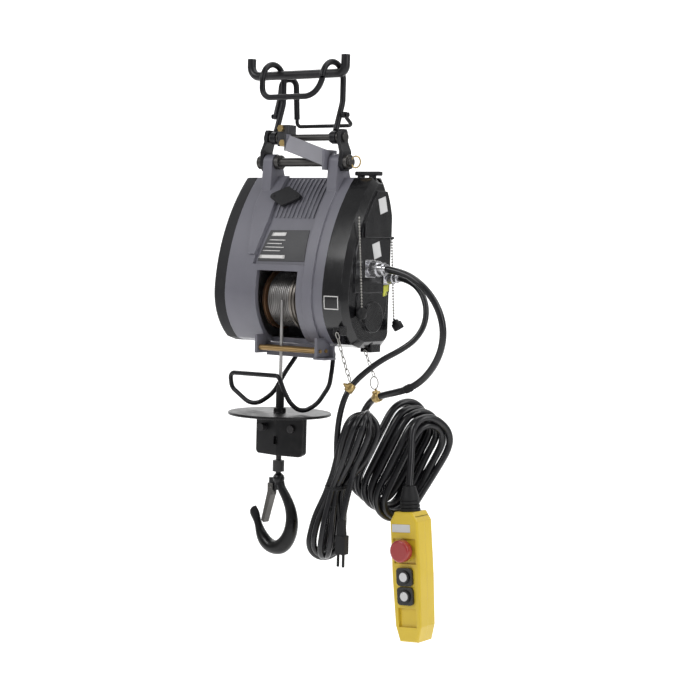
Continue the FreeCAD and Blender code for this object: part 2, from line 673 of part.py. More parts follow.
def gear(module, teeth, yz, phase, x0, x1):
    """Spur gear with involute flanks, thinned for backlash; one tooth at the phase angle."""
    pitch_r = module * teeth / 2
    base_r = pitch_r * math.cos(PRESSURE_ANGLE)
    tip_r = pitch_r + 0.8 * module
    root_r = pitch_r - 1.25 * module
    half_tooth = math.pi / (2 * teeth) * 0.86
    flank_r = [max(base_r, root_r + 0.1), pitch_r, tip_r]
    flank = []
    for r in flank_r:
        roll = math.acos(min(1.0, base_r / r))
        flank.append((r, half_tooth + involute(PRESSURE_ANGLE) - involute(roll)))
    flank.insert(0, (root_r, flank[0][1]))
    points = []
    for k in range(teeth):
        centre = phase + 2 * math.pi * k / teeth
        for r, a in flank:
            points.append((yz[0] + r * math.cos(centre - a), yz[1] + r * math.sin(centre - a)))
        for r, a in reversed(flank):
            points.append((yz[0] + r * math.cos(centre + a), yz[1] + r * math.sin(centre + a)))
    return prism_x(points, x0, x1)


def motor_shaft():
    shaft = cyl_x(MOTOR_YZ, 6.0, -110, 57)
    nose = cyl_x(MOTOR_YZ, 5.0, 57, 70)
    pinion = gear(FAST_MODULE, FAST_PINION_TEETH, MOTOR_YZ, FAST_MESH, 57.5, 69)
    return [fuse([shaft, nose, pinion])]


def motor_rotor():
    core = ring_x(MOTOR_YZ, 6.0, 21.5, -38, 30)
    slots = [cyl_x((MOTOR_YZ[0] + 21.5 * math.cos(a), MOTOR_YZ[1] + 21.5 * math.sin(a)), 1.5, -39, 31)
             for a in (2 * math.pi * k / 12 for k in range(12))]
    return [core.cut(slots[0].multiFuse(slots[1:]))]


def motor_stator():
    return [ring_x(MOTOR_YZ, 22.0, 36.0, -36, 28)]


def stator_windings():
    return [ring_x(MOTOR_YZ, 24.0, 34.0, -46, -36), ring_x(MOTOR_YZ, 24.0, 34.0, 28, 38)]


def cooling_fan():
    hub = ring_x(MOTOR_YZ, 6.0, 11.0, -104, -90)
    disc = ring_x(MOTOR_YZ, 6.0, 33.0, -91.5, -90)
    blades = []
    for k in range(9):
        blade = box(-104, -91, MOTOR_YZ[0] + 10, MOTOR_YZ[0] + 33, MOTOR_YZ[1] - 0.8, MOTOR_YZ[1] + 0.8)
        blade.rotate(V(0, *MOTOR_YZ), V(1, 0, 0), 40.0 * k)
        blades.append(blade)
    return [fuse([hub, disc] + blades)]


def brake_disc():
    return [ring_x(MOTOR_YZ, 6.0, 30.0, -83, -79)]


def brake_coil():
    return [ring_x(MOTOR_YZ, 9.0, 30.0, -78.5, -62)]


def bearing_plate():
    plate = case_prism(-WALL - 0.05, -62, -56)
    for yz in (MOTOR_YZ, DRUM_YZ):
        plate = plate.cut(cyl_x(yz, 16.0, -70, -50))
    return [plate]


def gearbox_plates():
    """Inner and outer plate of the gearbox; three posts hold the outer one."""
    inner = case_prism(-WALL - 0.05, 50, 56)
    for yz, r in ((MOTOR_YZ, 16.0), (DRUM_YZ, 16.0), (LAY_YZ, 13.0)):
        inner = inner.cut(cyl_x(yz, r, 40, 60))
    outline = [
        (-50, -290), (-47, -267), (24, -231), (36, -238),
        (39.6, -346), (42, -352), (42, -364), (34, -370), (-20, -368), (-46, -338)]
    posts = [cyl_x(yz, 4.0, 56, 88) for yz in ((-43.0, -275.0), (30.0, -239.0), (36.0, -362.0))]
    outer = fuse([prism_x(outline, 88, 92)] + posts)
    for yz, r in ((DRUM_YZ, 16.0), (LAY_YZ, 13.0)):
        outer = outer.cut(cyl_x(yz, r, 80, 100))
    return [inner, outer]


def bearings():
    """Plain bearing rings: pressed in their plates, running on their shafts."""
    rings = []
    for x0, x1 in ((-62, -56), (50, 56)):
        rings.append(ring_x(MOTOR_YZ, 6.0 + RUN_GAP, 16.0, x0, x1))
        rings.append(ring_x(DRUM_YZ, 7.5 + RUN_GAP, 16.0, x0, x1))
    rings.append(ring_x(DRUM_YZ, 7.5 + RUN_GAP, 16.0, 88, 92))
    for x0, x1 in ((50, 56), (88, 92)):
        rings.append(ring_x(LAY_YZ, 5.0 + RUN_GAP, 13.0, x0, x1))
    return rings


def layshaft_gear():
    shaft = cyl_x(LAY_YZ, 5.0, 50, 92)
    phase = FAST_MESH + math.pi + math.pi / FAST_GEAR_TEETH
    wheel = gear(FAST_MODULE, FAST_GEAR_TEETH, LAY_YZ, phase, 59, 67)
    pinion = gear(SLOW_MODULE, SLOW_PINION_TEETH, LAY_YZ, SLOW_MESH, 70, 84)
    return [fuse([shaft, wheel, pinion])]


def drum_gear():
    phase = SLOW_MESH + math.pi + math.pi / SLOW_GEAR_TEETH
    wheel = gear(SLOW_MODULE, SLOW_GEAR_TEETH, DRUM_YZ, phase, 72, 82)
    return [wheel.cut(cyl_x(DRUM_YZ, 7.5, 60, 90))]


def drum_shaft():
    return [cyl_x(DRUM_YZ, DRUM_SHAFT_R, -63, 93)]


def rope_drum():
    """Turned drum: bored barrel, two flanges pressed on it, and a grooved rim."""
    barrel = ring_x(DRUM_YZ, DRUM_SHAFT_R, DRUM_BARREL_R, -36, 42)
    flanges = [ring_x(DRUM_YZ, DRUM_BARREL_R, DRUM_FLANGE_R, x, x + 4) for x in (-36.0, 12.0)]
    rim = ring_x(DRUM_YZ, DRUM_BARREL_R, DRUM_RIM_R, 16, 40)
    for x in (20.0, 30.0):
        rim = rim.cut(ring_x(DRUM_YZ, DRUM_RIM_R - 3, DRUM_RIM_R + 1, x, x + 3))
    return [barrel, rim] + flanges


def drum_rope():
    """Rope winding between the flanges, as one ring of its outer shape."""
    return [ring_x(DRUM_YZ, DRUM_BARREL_R, WINDING_R - 0.05, -32, 12)]


def contactor():
    body = box(-110, -70, -34, 26, -362, -302)
    poles = [box(-106 + 12 * k, -98 + 12 * k, -26, 18, -302, -296) for k in range(3)]
    return [fuse([body] + poles)]


# ---- load line ----
def wire_rope():
    return [cyl_z((ROPE_X, ROPE_Y), ROPE_DIA / 2, SLEEVE_Z[1], DRUM_YZ[1])]


def rope_sleeve():
    """Rubber sleeve over the fitting at the rope's end; the free rope starts at its top."""
    low, high = SLEEVE_Z
    body = cyl_z((ROPE_X, ROPE_Y), SLEEVE_R, low, high - 8)
    neck = cone_z((ROPE_X, ROPE_Y), SLEEVE_R, 4.2, high - 8, high)
    return [fuse([body, neck])]


def stopper_disc():
    disc = cyl_z((ROPE_X, ROPE_Y), DISC_R, DISC_Z - DISC_THICK / 2, DISC_Z + DISC_THICK / 2)
    disc = disc.makeFillet(1.5, [e for e in disc.Edges if e.Length > 100 and e.Closed])
    collar = cyl_z((ROPE_X, ROPE_Y), 9.0, DISC_Z + DISC_THICK / 2, SLEEVE_Z[0])
    return [fuse([disc, collar])]


def counterweight():
    """Two steel plates, each folded a little, clamped round the swivel stem."""
    fold = 6.0
    top, low = DISC_Z - DISC_THICK / 2, -552.0
    plates = []
    for y0, half_w in ((ROPE_Y - 9.5, 42.0), (ROPE_Y + 4.5, 36.0)):
        y1 = y0 + 5.0
        outline = [(-half_w, y0 + fold), (0, y0), (half_w, y0 + fold),
                   (half_w, y1 + fold), (0, y1), (-half_w, y1 + fold)]
        pts = [V(COUNTERWEIGHT_X + x, y, low) for x, y in outline]
        plate = Part.Face(Part.makePolygon(pts + pts[:1])).extrude(V(0, 0, top - low))
        plate = plate.makeFillet(6.0, [e for e in plate.Edges if is_low_corner(e, low)])
        plate = plate.cut(box(ROPE_X - 3.5, ROPE_X + 4.5, -80, -20, *COUNTERWEIGHT_SLOT_Z))
        for x in COUNTERWEIGHT_BOLT_X:
            plate = plate.cut(cyl_y((x, COUNTERWEIGHT_BOLT_Z), 3.2, -80, -10))
        plates.append(plate)
    return plates


def is_low_corner(edge, low):
    """True for the two short edges through a plate at its lower outer corners."""
    a, b = [vertex.Point for vertex in edge.Vertexes]
    at_foot = abs(a.z - low) < 0.01 and abs(b.z - low) < 0.01
    return at_foot and abs(a.x - b.x) < 1 and abs(a.x - COUNTERWEIGHT_X) > 30


def swivel_stem():
    """Stem with the swivel socket for the hook's head, and the counterweight's two bolts."""
    axis = (ROPE_X, ROPE_Y)
    floor_z, ceiling_z = SWIVEL_Z[0] + 11, SWIVEL_Z[1] - 6
    stem = cyl_z(axis, STEM_R, SWIVEL_Z[1] - 2, DISC_Z - DISC_THICK / 2)
    for y0, y1 in ((ROPE_Y - 10, ROPE_Y - 1.8), (ROPE_Y + 1.8, ROPE_Y + 10)):
        stem = stem.cut(box(-10, 10, y0, y1, *COUNTERWEIGHT_SLOT_Z))
    lug = box(ROPE_X - 4, ROPE_X + 4, ROPE_Y - 3.4, ROPE_Y + 3.4, -522, -498)
    socket = cyl_z(axis, 8.5, SWIVEL_Z[0] + 8, SWIVEL_Z[1])
    socket = socket.cut(cyl_z(axis, 6.5, floor_z, ceiling_z))
    socket = socket.cut(cyl_z(axis, STEM_R + RUN_GAP, SWIVEL_Z[0], floor_z + 1))
    bolts = []
    for x, head_y in zip(COUNTERWEIGHT_BOLT_X, (-16.0, -10.0)):
        shank = cyl_y((x, COUNTERWEIGHT_BOLT_Z), 3.15, ROPE_Y + head_y, ROPE_Y + 19)
        head = cyl_y((x, COUNTERWEIGHT_BOLT_Z), 5.5, ROPE_Y + head_y, ROPE_Y - 7.2)
        nut = cyl_y((x, COUNTERWEIGHT_BOLT_Z), 5.5, ROPE_Y + 14.8, ROPE_Y + 19)
        bolts.append(fuse([shank, head, nut]))
    return [fuse([stem, lug, socket])] + bolts


def load_hook():
    """Forged hook whose section swells round the bowl, hung by a headed shank.

    Each row is one round section: place along X and Z, heading in degrees, radius.
    """
    rows = [
        (4, -590, 90, 6.0), (11, -606, 50, 6.5), (22, -624, 62, 7.5), (27, -645, 88, 9.0),
        (22, -669, 118, 10.5), (6, -686, 155, 11.0), (-14, -685.5, 205, 10.0), (-29, -671, 235, 8.0),
        (-37, -653, 252, 5.6), (-43.5, -632, 248, 2.6)]
    sections = []
    for x, z, heading, r in rows:
        a = math.radians(heading)
        ring = Part.makeCircle(r, V(ROPE_X + x, ROPE_Y, z), V(math.cos(a), 0, -math.sin(a)))
        sections.append(Part.Wire(ring))
    axis = (ROPE_X, ROPE_Y)
    head = cyl_z(axis, 6.4, SWIVEL_Z[0] + 11.1, SWIVEL_Z[0] + 16)
    shank = cyl_z(axis, STEM_R, -592, SWIVEL_Z[0] + 12)
    shoulder = Part.makeSphere(8.6, V(ROPE_X + 1, ROPE_Y, SWIVEL_Z[0] - 2.5))
    shoulder = shoulder.cut(box(-20, 20, -80, -20, SWIVEL_Z[0] + 7.9, SWIVEL_Z[1]))
    neck = cyl_z((ROPE_X + 2, ROPE_Y), 6.8, -596, -588)
    hook = Part.makeLoft(sections, True, False).multiFuse([head, shank, shoulder, neck])
    hook = hook.cut(box(-16.5, -8.0, ROPE_Y - 20, ROPE_Y + 20, -604, -580))
    hook = hook.fuse(box(-15, -2, ROPE_Y - 2.5, ROPE_Y + 2.5, -604, -586)).removeSplitter()
    return [hook.cut(cyl_y(LATCH_AXIS, 1.6, -80, -10))]


def hook_latch():
    """Sprung sheet latch: two cheeks on the hook's lug and a tongue down to the tip."""
    x, z = LATCH_AXIS
    tip_x, tip_z = -24.5, -653.0
    tongue_side = [(x - 4.5, z - 8), (x + 3.5, z - 8), (tip_x + 4, tip_z), (tip_x - 1, tip_z + 3)]
    cheek_side = [(x - 5, z + 5), (x + 4, z + 5), (x + 4, z - 12), (x - 5, z - 12)]
    tongue = prism_y(tongue_side, ROPE_Y - 6.0, ROPE_Y + 6.0)
    tongue = tongue.cut(box(x - 12, x + 12, ROPE_Y - 2.6, ROPE_Y + 2.6, -606, -590))
    pin = cyl_y((x, z), 1.55, ROPE_Y - 6.5, ROPE_Y + 6.5)
    cheeks = [prism_y(cheek_side, ROPE_Y + low, ROPE_Y + high) for low, high in ((-5, -2.6), (2.6, 5))]
    return [fuse([tongue, pin] + cheeks)]


def limit_lever():
    """One bent rod: two lobes just above the disc, with the rope between its runs."""
    y0, z0 = LEVER_AXIS
    points = [
        (43, y0, z0),
        (61, y0, z0),
        (64, -7, -424),
        (71, -22, -448),
        (62, -38, -474),
        (42, -47, -487),
        (26, -54, -476),
        (17, -59, -456),
        (8, -60, -436),
        (-92, -49, -438),
        (-92, -45, -460),
        (-50, -45, -486),
        (-20, -36, -464),
        (-9, -24, -434),
        (-3, -8, -412),
        (-3, y0, z0),
        (13, y0, z0),
    ]
    radii = [6.5, 30, 30, 30, 18, 40, 30, 9, 9, 12, 28, 40, 60, 9, 6.5]
    return [bent_rod(points, radii, LEVER_DIA)]


def limit_switch():
    """Bracket with two lugs that the lever turns in, and the switch box between them."""
    y0, z0 = LEVER_AXIS
    base = box(2, 54, -9, 9, z0 + 5, z0 + 8)
    lugs = [box(x, x + 5, -6, 6, z0 - 6, z0 + 7) for x in (5.0, 47.0)]
    bracket = fuse([base] + lugs).cut(cyl_x((y0, z0), LEVER_DIA / 2 + RUN_GAP, 0, 60))
    switch = fuse([box(16, 40, -8, 8, z0 - 5, z0 + 5), box(25, 31, -10.5, -8, z0 - 3, z0 + 2)])
    return [bracket, switch]


# ---- cables ----
def hank_solid():
    """Outer shape of the tied power cable: wide at both loops, pinched at the tie.

    Each row is one flat section: its centre, half width and half depth.
    """
    rows = [
        (155, -40, -466, 12, 10), (153, -41, -478, 28, 21), (146, -44, -505, 30, 25),
        (133, -50, -545, 20, 18), (115, -58, -586, 15.3, 15), (108, -60, -625, 22, 20),
        (102.5, -62.5, -665, 27, 26), (97.5, -62.5, -688, 21, 20), (95.5, -62.5, -700, 10, 9)]
    sections = [Part.Wire(Part.Ellipse(V(x, y, z), w, d).toShape()) for x, y, z, w, d in rows]
    return [Part.makeLoft(sections, True, True).cut(POWER_TUBE)]


def coil_solid():
    """Outer shape of the coiled pendant cable: a long ring, its turns fanned sideways."""
    long_dir = unit(COIL_LONG)
    normal = unit(COIL_LONG.cross(COIL_SHORT))
    short_dir = normal.cross(long_dir)
    centre = COIL_CENTRE - COIL_STACK * 0.5
    rings = []
    for half_long, half_short in ((84.0, 36.0), (65.5, 17.5)):
        straight = half_long - half_short
        corner = [centre + long_dir * (a * straight) + short_dir * (b * half_short)
                  for a, b in ((-1, 1), (1, 1), (1, -1), (-1, -1))]
        edges = [
            Part.LineSegment(corner[0], corner[1]).toShape(),
            Part.Arc(corner[1], centre + long_dir * half_long, corner[2]).toShape(),
            Part.LineSegment(corner[2], corner[3]).toShape(),
            Part.Arc(corner[3], centre - long_dir * half_long, corner[0]).toShape(),
        ]
        rings.append(Part.Face(Part.Wire(edges)).extrude(COIL_STACK))
    ring = rings[0].cut(rings[1])
    for neighbour in [CONTROL_TUBE, DROP_TUBE] + CORD_HANGERS:
        ring = ring.cut(neighbour)
    return [largest(ring)]


def power_plug():
    x, y = PLUG_XY
    body = box(x - 8, x + 8, y - 7, y + 7, *PLUG_Z)
    body = body.makeFillet(3.0, [e for e in body.Edges if abs(e.Vertexes[0].Z - e.Vertexes[1].Z) > 1])
    relief = cone_z(PLUG_XY, 6.5, 4.6, PLUG_Z[1], PLUG_Z[1] + 22)
    pin_places = ((-4.5, -2), (4.5, -2), (0, 4))
    pins = [cyl_z((x + dx, y + dy), 2.0, PLUG_Z[0] - 18, PLUG_Z[0]) for dx, dy in pin_places]
    return [fuse([body, relief] + pins)]


def clamp_block(centre, tube):
    x, y, z = centre
    return largest(box(x - 7, x + 7, y - 8, y + 8, z - 8, z + 8).cut(tube))


def cord_hangers():
    """Chains from the casing's lugs to the brass clips that carry the two cables."""
    clamps = [clamp_block(POWER_CLAMP, POWER_TUBE), clamp_block(CONTROL_CLAMP, CONTROL_TUBE)]
    front_top = V(CHAIN_EYE_FRONT[0], CHAIN_EYE_FRONT[1] - 9.5, CHAIN_EYE_FRONT[2] - 4)
    front_axis = V(127, -51, -439.9) - front_top
    front = Part.makeCylinder(2.4, front_axis.Length, front_top, front_axis)
    rear_top = V(CHAIN_EYE_REAR[0], CHAIN_EYE_REAR[1] - 15, CHAIN_EYE_REAR[2] - 3)
    rear_axis = V(121, 15, -432) - rear_top
    ring = Part.makeTorus(9.0, 1.0, V(122, 17, -442), V(0.3, 1, 0))
    rear = Part.makeCylinder(1.6, rear_axis.Length, rear_top, rear_axis).cut(ring)
    held = ((front, clamps[0]), (rear, clamps[1]), (ring, clamps[1]))
    links = [largest(piece.cut(clamp)) for piece, clamp in held]
    return clamps + links


# ---- pendant ----
def hung(shape):
    """Places a piece drawn under the origin where the pendant hangs, leaning a little."""
    shape.rotate(V(0, 0, 0), V(0, 1, 0), PENDANT_TILT)
    shape.translate(PENDANT_TOP)
    return shape


def pendant_half(front):
    """Front or rear shell of the pendant."""
    outline = [
        (-15, 0), (15, 0), (23, -13), (23.5, -90), (21.5, -160),
        (15, -182), (-15, -182), (-21.5, -160), (-23.5, -90), (-23, -13)]
    shell = prism_y(outline, -PENDANT_HALF_D, PENDANT_HALF_D)
    face_y = [e for e in shell.Edges if abs(e.Vertexes[0].Y - e.Vertexes[1].Y) < 0.01]
    shell = shell.makeFillet(3.0, face_y)
    cavity = prism_y([(-19, -6), (19, -6), (20, -90), (19, -132), (-19, -132), (-20, -90)], -16, 16)
    shell = shell.cut(cavity)
    shell = shell.cut(cyl_z((0, 0), 8.0, -10, 5))
    if not front:
        return [hung(shell.common(box(-40, 40, 0.02, 40, -200, 20)))]
    shell = shell.common(box(-40, 40, -40, 0, -200, 20))
    pocket = box(-18, 18, -25, -PENDANT_HALF_D + 2.5, E_STOP_Z - 19, E_STOP_Z + 16)
    shell = shell.cut(pocket)
    shell = shell.cut(cyl_y((0, E_STOP_Z), 11.1, -40, -5))
    shell = shell.cut(box(-15, 15, -25, -PENDANT_HALF_D + 4, -161, -134))
    for z in BUTTON_Z:
        shell = shell.cut(cyl_y((0, z), 9.1, -40, -5))
    return [hung(shell)]


def pendant_boot():
    boot = cone_z((0, 0), 14.5, 13.0, 0, 20)
    boot = boot.fuse(cone_z((0, 0), 13.0, 9.0, 20, 35))
    grooves = [ring_z((0, 0), 12.0, 20, z, z + 1.5) for z in (4.0, 9.0, 14.0)]
    boot = boot.fuse(cyl_z((0, 0), 7.95, -9, 0)).removeSplitter()
    for groove in grooves:
        boot = boot.cut(groove)
    return [hung(boot).cut(DROP_TUBE)]


def button_bezels():
    bezels = []
    for z in BUTTON_Z:
        bezel = box(-13, 13, -PENDANT_HALF_D - 4, -PENDANT_HALF_D, z - 12.5, z + 12.5)
        uprights = [e for e in bezel.Edges if abs(e.Vertexes[0].Y - e.Vertexes[1].Y) > 1]
        bezel = bezel.makeFillet(5.0, uprights)
        bezels.append(hung(bezel.cut(cyl_y((0, z), 9.1, -30, -10))))
    return bezels


def push_button(z):
    cap = cyl_y((0, z), 9.0, -PENDANT_HALF_D - 6.5, -PENDANT_HALF_D + 7)
    return [hung(cap)]


def e_stop_button():
    stem = cyl_y((0, E_STOP_Z), 11.0, -PENDANT_HALF_D - 4, -PENDANT_HALF_D + 10)
    head = cyl_y((0, E_STOP_Z), 15.5, -PENDANT_HALF_D - 15, -PENDANT_HALF_D - 4)
    face_y = -PENDANT_HALF_D - 14
    head = head.makeFillet(3.0, [e for e in head.Edges if e.Closed and e.Vertexes[0].Y < face_y])
    return [hung(fuse([stem, head]))]


def switch_block():
    """Contact block that the three buttons press, inside the pendant."""
    return [hung(box(-16, 16, -1, 12, -130, -38))]


POWER_TUBE = cord_tube("power cord", POWER_ROUTE, POWER_DIA)
CONTROL_TUBE = cord_tube("control cord", CONTROL_ROUTE, CONTROL_DIA)
DROP_TUBE = cord_tube("pendant drop", DROP_ROUTE, CONTROL_DIA)
CORD_HANGERS = cord_hangers()
CASING = main_casing()
CONNECTORS = [
    cable_connector(SOCKET_YZ[0], 11.5, CONTROL_CONNECTOR_L, CONTROL_TUBE),
    cable_connector(SOCKET_YZ[1], 8.8, POWER_CONNECTOR_L, POWER_TUBE),
]
NODES = {
    "hanging_yoke": hanging_yoke(),
    "pipe_hook": pipe_hook(),
    "safety_bail": safety_bail(),
    "link_plates": link_plate(-1) + link_plate(1),
    "upper_cross_rod": upper_cross_rod(),
    "lower_pivot_bar": lower_pivot_bar(),
    "brace_plate": brace_plate(),
    "link_fasteners": link_fasteners(),
    "main_casing": CASING,
    "left_end_cover": left_end_cover(),
    "right_end_cover": right_end_cover(),
    "cover_screws": cover_screws(),
    "blank_labels": blank_labels(),
    "diamond_cover": diamond_cover(),
    "rope_guide_bracket": rope_guide_bracket(),
    "rope_guide_rods": rope_guide_rods(),
    "carry_handle": carry_handle(),
    "bearing_plate": bearing_plate(),
    "gearbox_plates": gearbox_plates(),
    "bearings": bearings(),
    "motor_stator": motor_stator() + stator_windings(),
    "brake_coil": brake_coil(),
    "contactor": contactor(),
    "motor_rotor": motor_rotor(),
    "motor_shaft": motor_shaft(),
    "cooling_fan": cooling_fan(),
    "brake_disc": brake_disc(),
    "layshaft_gear": layshaft_gear(),
    "rope_drum": rope_drum(),
    "drum_gear": drum_gear(),
    "drum_shaft": drum_shaft(),
    "drum_rope": drum_rope(),
    "wire_rope": wire_rope(),
    "rope_sleeve": rope_sleeve(),
    "stopper_disc": stopper_disc(),
    "counterweight": counterweight(),
    "swivel_stem": swivel_stem(),
    "load_hook": load_hook(),
    "hook_latch": hook_latch(),
    "limit_lever": limit_lever(),
    "limit_switch": limit_switch(),
    "panel_sockets": [panel_socket(SOCKET_YZ[0], 12.5), panel_socket(SOCKET_YZ[1], 9.5)],
    "cable_connectors": CONNECTORS,
    "bead_chains": bead_chains(),
    "power_cord": [POWER_TUBE],
    "power_cord_hank": hank_solid(),
    "power_plug": power_plug(),
    "pendant_cord": [CONTROL_TUBE, DROP_TUBE],
    "pendant_cord_coil": coil_solid(),
    "cord_hangers": CORD_HANGERS,
    "pendant_front": pendant_half(True),
    "pendant_back": pendant_half(False),
    "pendant_boot": pendant_boot(),
    "button_bezels": button_bezels(),
    "e_stop_button": e_stop_button(),
    "up_button": push_button(BUTTON_Z[0]),
    "down_button": push_button(BUTTON_Z[1]),
    "switch_block": switch_block(),
}
os.makedirs("parts", exist_ok=True)
for node, shapes in NODES.items():
    save(node, shapes)
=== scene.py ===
"""Looks of the hanging wire-rope hoist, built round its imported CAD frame. Metres, +Z up."""
import math
import random

import bpy
from mathutils import Matrix, Vector


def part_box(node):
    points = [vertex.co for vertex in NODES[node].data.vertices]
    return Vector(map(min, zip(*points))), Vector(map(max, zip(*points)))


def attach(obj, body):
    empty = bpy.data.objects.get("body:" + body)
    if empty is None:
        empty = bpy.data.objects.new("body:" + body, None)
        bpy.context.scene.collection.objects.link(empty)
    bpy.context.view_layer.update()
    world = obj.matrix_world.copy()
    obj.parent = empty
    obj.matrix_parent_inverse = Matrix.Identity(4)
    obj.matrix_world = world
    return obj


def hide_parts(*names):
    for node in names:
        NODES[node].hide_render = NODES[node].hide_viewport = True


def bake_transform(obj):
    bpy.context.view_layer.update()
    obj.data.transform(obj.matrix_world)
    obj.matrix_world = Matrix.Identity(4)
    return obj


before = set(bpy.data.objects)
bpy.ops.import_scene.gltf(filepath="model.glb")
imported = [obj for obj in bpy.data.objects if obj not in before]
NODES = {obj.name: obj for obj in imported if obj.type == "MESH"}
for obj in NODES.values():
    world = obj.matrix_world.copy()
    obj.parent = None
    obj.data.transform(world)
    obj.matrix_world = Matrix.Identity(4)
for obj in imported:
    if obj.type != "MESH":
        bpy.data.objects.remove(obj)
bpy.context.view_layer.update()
rng = random.Random(7)
MM = 0.001
COIL_TURNS = 11
HANK_LOOPS = 5


# ---- materials ----
class Graph:
    """A material's node tree with short ways to add and link nodes."""

    def __init__(self, name):
        self.mat = bpy.data.materials.new(name)
        self.mat.use_nodes = True
        self.tree = self.mat.node_tree
        self.bsdf = self.tree.nodes["Principled BSDF"]
        self.place = self.add("ShaderNodeTexCoord").outputs["Object"]

    def add(self, kind, **settings):
        node = self.tree.nodes.new(kind)
        for key, value in settings.items():
            setattr(node, key, value)
        return node

    def link(self, source, target):
        self.tree.links.new(source, target)

    def feed(self, socket, value):
        if isinstance(value, bpy.types.NodeSocket):
            self.link(value, socket)
        else:
            socket.default_value = value

    def noise(self, scale, detail=4.0, stretch=None, rough=0.55):
        node = self.add("ShaderNodeTexNoise")
        node.inputs["Scale"].default_value = scale
        node.inputs["Detail"].default_value = detail
        node.inputs["Roughness"].default_value = rough
        place = self.place
        if stretch:
            mapping = self.add("ShaderNodeMapping")
            mapping.inputs["Scale"].default_value = stretch
            self.link(place, mapping.inputs["Vector"])
            place = mapping.outputs["Vector"]
        self.link(place, node.inputs["Vector"])
        return node.outputs["Fac"]

    def math(self, operation, a, b=0.0, clamp=False):
        node = self.add("ShaderNodeMath", operation=operation, use_clamp=clamp)
        self.feed(node.inputs[0], a)
        self.feed(node.inputs[1], b)
        return node.outputs[0]

    def remap(self, value, low, high, to_low, to_high):
        node = self.add("ShaderNodeMapRange")
        self.link(value, node.inputs["Value"])
        for key, number in (("From Min", low), ("From Max", high), ("To Min", to_low), ("To Max", to_high)):
            node.inputs[key].default_value = number
        return node.outputs["Result"]

    def mix(self, factor, a, b):
        node = self.add("ShaderNodeMix", data_type="RGBA")
        self.feed(node.inputs["Factor"], factor)
        for index, value in ((6, a), (7, b)):
            if isinstance(value, tuple):
                value = value + (1.0,) if len(value) == 3 else value
            self.feed(node.inputs[index], value)
        return node.outputs[2]

    def axis(self, name):
        node = self.add("ShaderNodeSeparateXYZ")
        self.link(self.place, node.inputs[0])
        return node.outputs[name]


DUST_COLOR = (0.32, 0.30, 0.28)
DARK_PAINT = 0.02  # paints darker than this reflect less


def edge_mask(g, radius):
    """High where a rounded edge would turn the surface, so paint wears there; on the right cover the same
    mask places painted highlight lines.
    """
    bevel = g.add("ShaderNodeBevel", samples=6)
    bevel.inputs["Radius"].default_value = radius
    geometry = g.add("ShaderNodeNewGeometry")
    dot = g.add("ShaderNodeVectorMath", operation="DOT_PRODUCT")
    g.link(bevel.outputs["Normal"], dot.inputs[0])
    g.link(geometry.outputs["Normal"], dot.inputs[1])
    return bevel.outputs["Normal"], g.remap(dot.outputs["Value"], 0.995, 0.86, 0.0, 1.0)


def finish_of(name, base, rough, metal=0.0, tint=0.12, grain=500.0, bump=0.12, depth=0.0002, edge_wear_and_sheen=0.0,
              edge_wear_and_sheen_color=(0.45, 0.44, 0.42), coat=0.0, edge=0.0008, stretch=None, dust=0.0, color=None):
    """A finished surface: mottled colour, uneven gloss, fine grain, rubbed light edges (on the right cover
    also painted highlight lines along the rim) and a film of dust.
    """
    g = Graph(name)
    broad = g.noise(14.0, 5.0)
    fine = g.noise(grain, 3.0, stretch)
    patch = g.noise(65.0, 6.0)
    lighter = tuple(min(1.0, c * (1.0 + tint) + 0.003) for c in base)
    darker = tuple(c * (1.0 - tint) for c in base)
    shade = g.mix(g.remap(broad, 0.35, 0.65, 0.0, 1.0), darker, lighter)
    if color:
        shade = color(g, shade)
    shade = g.mix(g.math("MULTIPLY", fine, tint * 1.2), shade, darker)
    normal, edges = edge_mask(g, edge)
    metallic = metal
    # rubbed edges: real rubbing on most parts, and on the right cover painted highlight lines along the rim
    if edge_wear_and_sheen:
        worn_and_sheen_edges = g.math("MULTIPLY", edges, g.remap(patch, 0.42, 0.62, 0.0, 1.0), clamp=True)
        worn_and_sheen_edges = g.math("MULTIPLY", worn_and_sheen_edges, edge_wear_and_sheen, clamp=True)
        shade = g.mix(worn_and_sheen_edges, shade, edge_wear_and_sheen_color)
        metallic = g.math("MAXIMUM", metal, g.math("MULTIPLY", worn_and_sheen_edges, 0.7))
    if dust:
        film = g.math("MULTIPLY", g.remap(patch, 0.45, 0.8, 0.0, 1.0), dust)
        shade = g.mix(film, shade, DUST_COLOR)
    g.feed(g.bsdf.inputs["Base Color"], shade)
    g.feed(g.bsdf.inputs["Metallic"], metallic)
    spread = g.math("ADD", g.math("MULTIPLY", patch, 0.22), g.math("MULTIPLY", fine, 0.10))
    g.link(g.math("ADD", spread, rough - 0.16, clamp=True), g.bsdf.inputs["Roughness"])
    g.bsdf.inputs["Specular IOR Level"].default_value = 0.3 if max(base) < DARK_PAINT else 0.5
    g.bsdf.inputs["Coat Weight"].default_value = coat
    g.bsdf.inputs["Coat Roughness"].default_value = 0.12
    bumps = g.add("ShaderNodeBump")
    bumps.inputs["Strength"].default_value = bump
    bumps.inputs["Distance"].default_value = depth
    g.link(fine, bumps.inputs["Height"])
    g.link(normal, bumps.inputs["Normal"])
    g.link(bumps.outputs["Normal"], g.bsdf.inputs["Normal"])
    return g.mat


def split_at(axis, place, low_color):
    """Colour change across a plane: low_color on the side below the place."""
    def change(g, shade):
        side = g.math("LESS_THAN", g.axis(axis), place)
        return g.mix(side, shade, low_color)
    return change


def ring_about(centre, radius, outer_color):
    """Colour change outside a cylinder along Y."""
    def change(g, shade):
        dx = g.math("SUBTRACT", g.axis("X"), centre[0])
        dz = g.math("SUBTRACT", g.axis("Z"), centre[1])
        gap = g.math("SQRT", g.math("ADD", g.math("MULTIPLY", dx, dx), g.math("MULTIPLY", dz, dz)))
        return g.mix(g.math("GREATER_THAN", gap, radius), shade, outer_color)
    return change


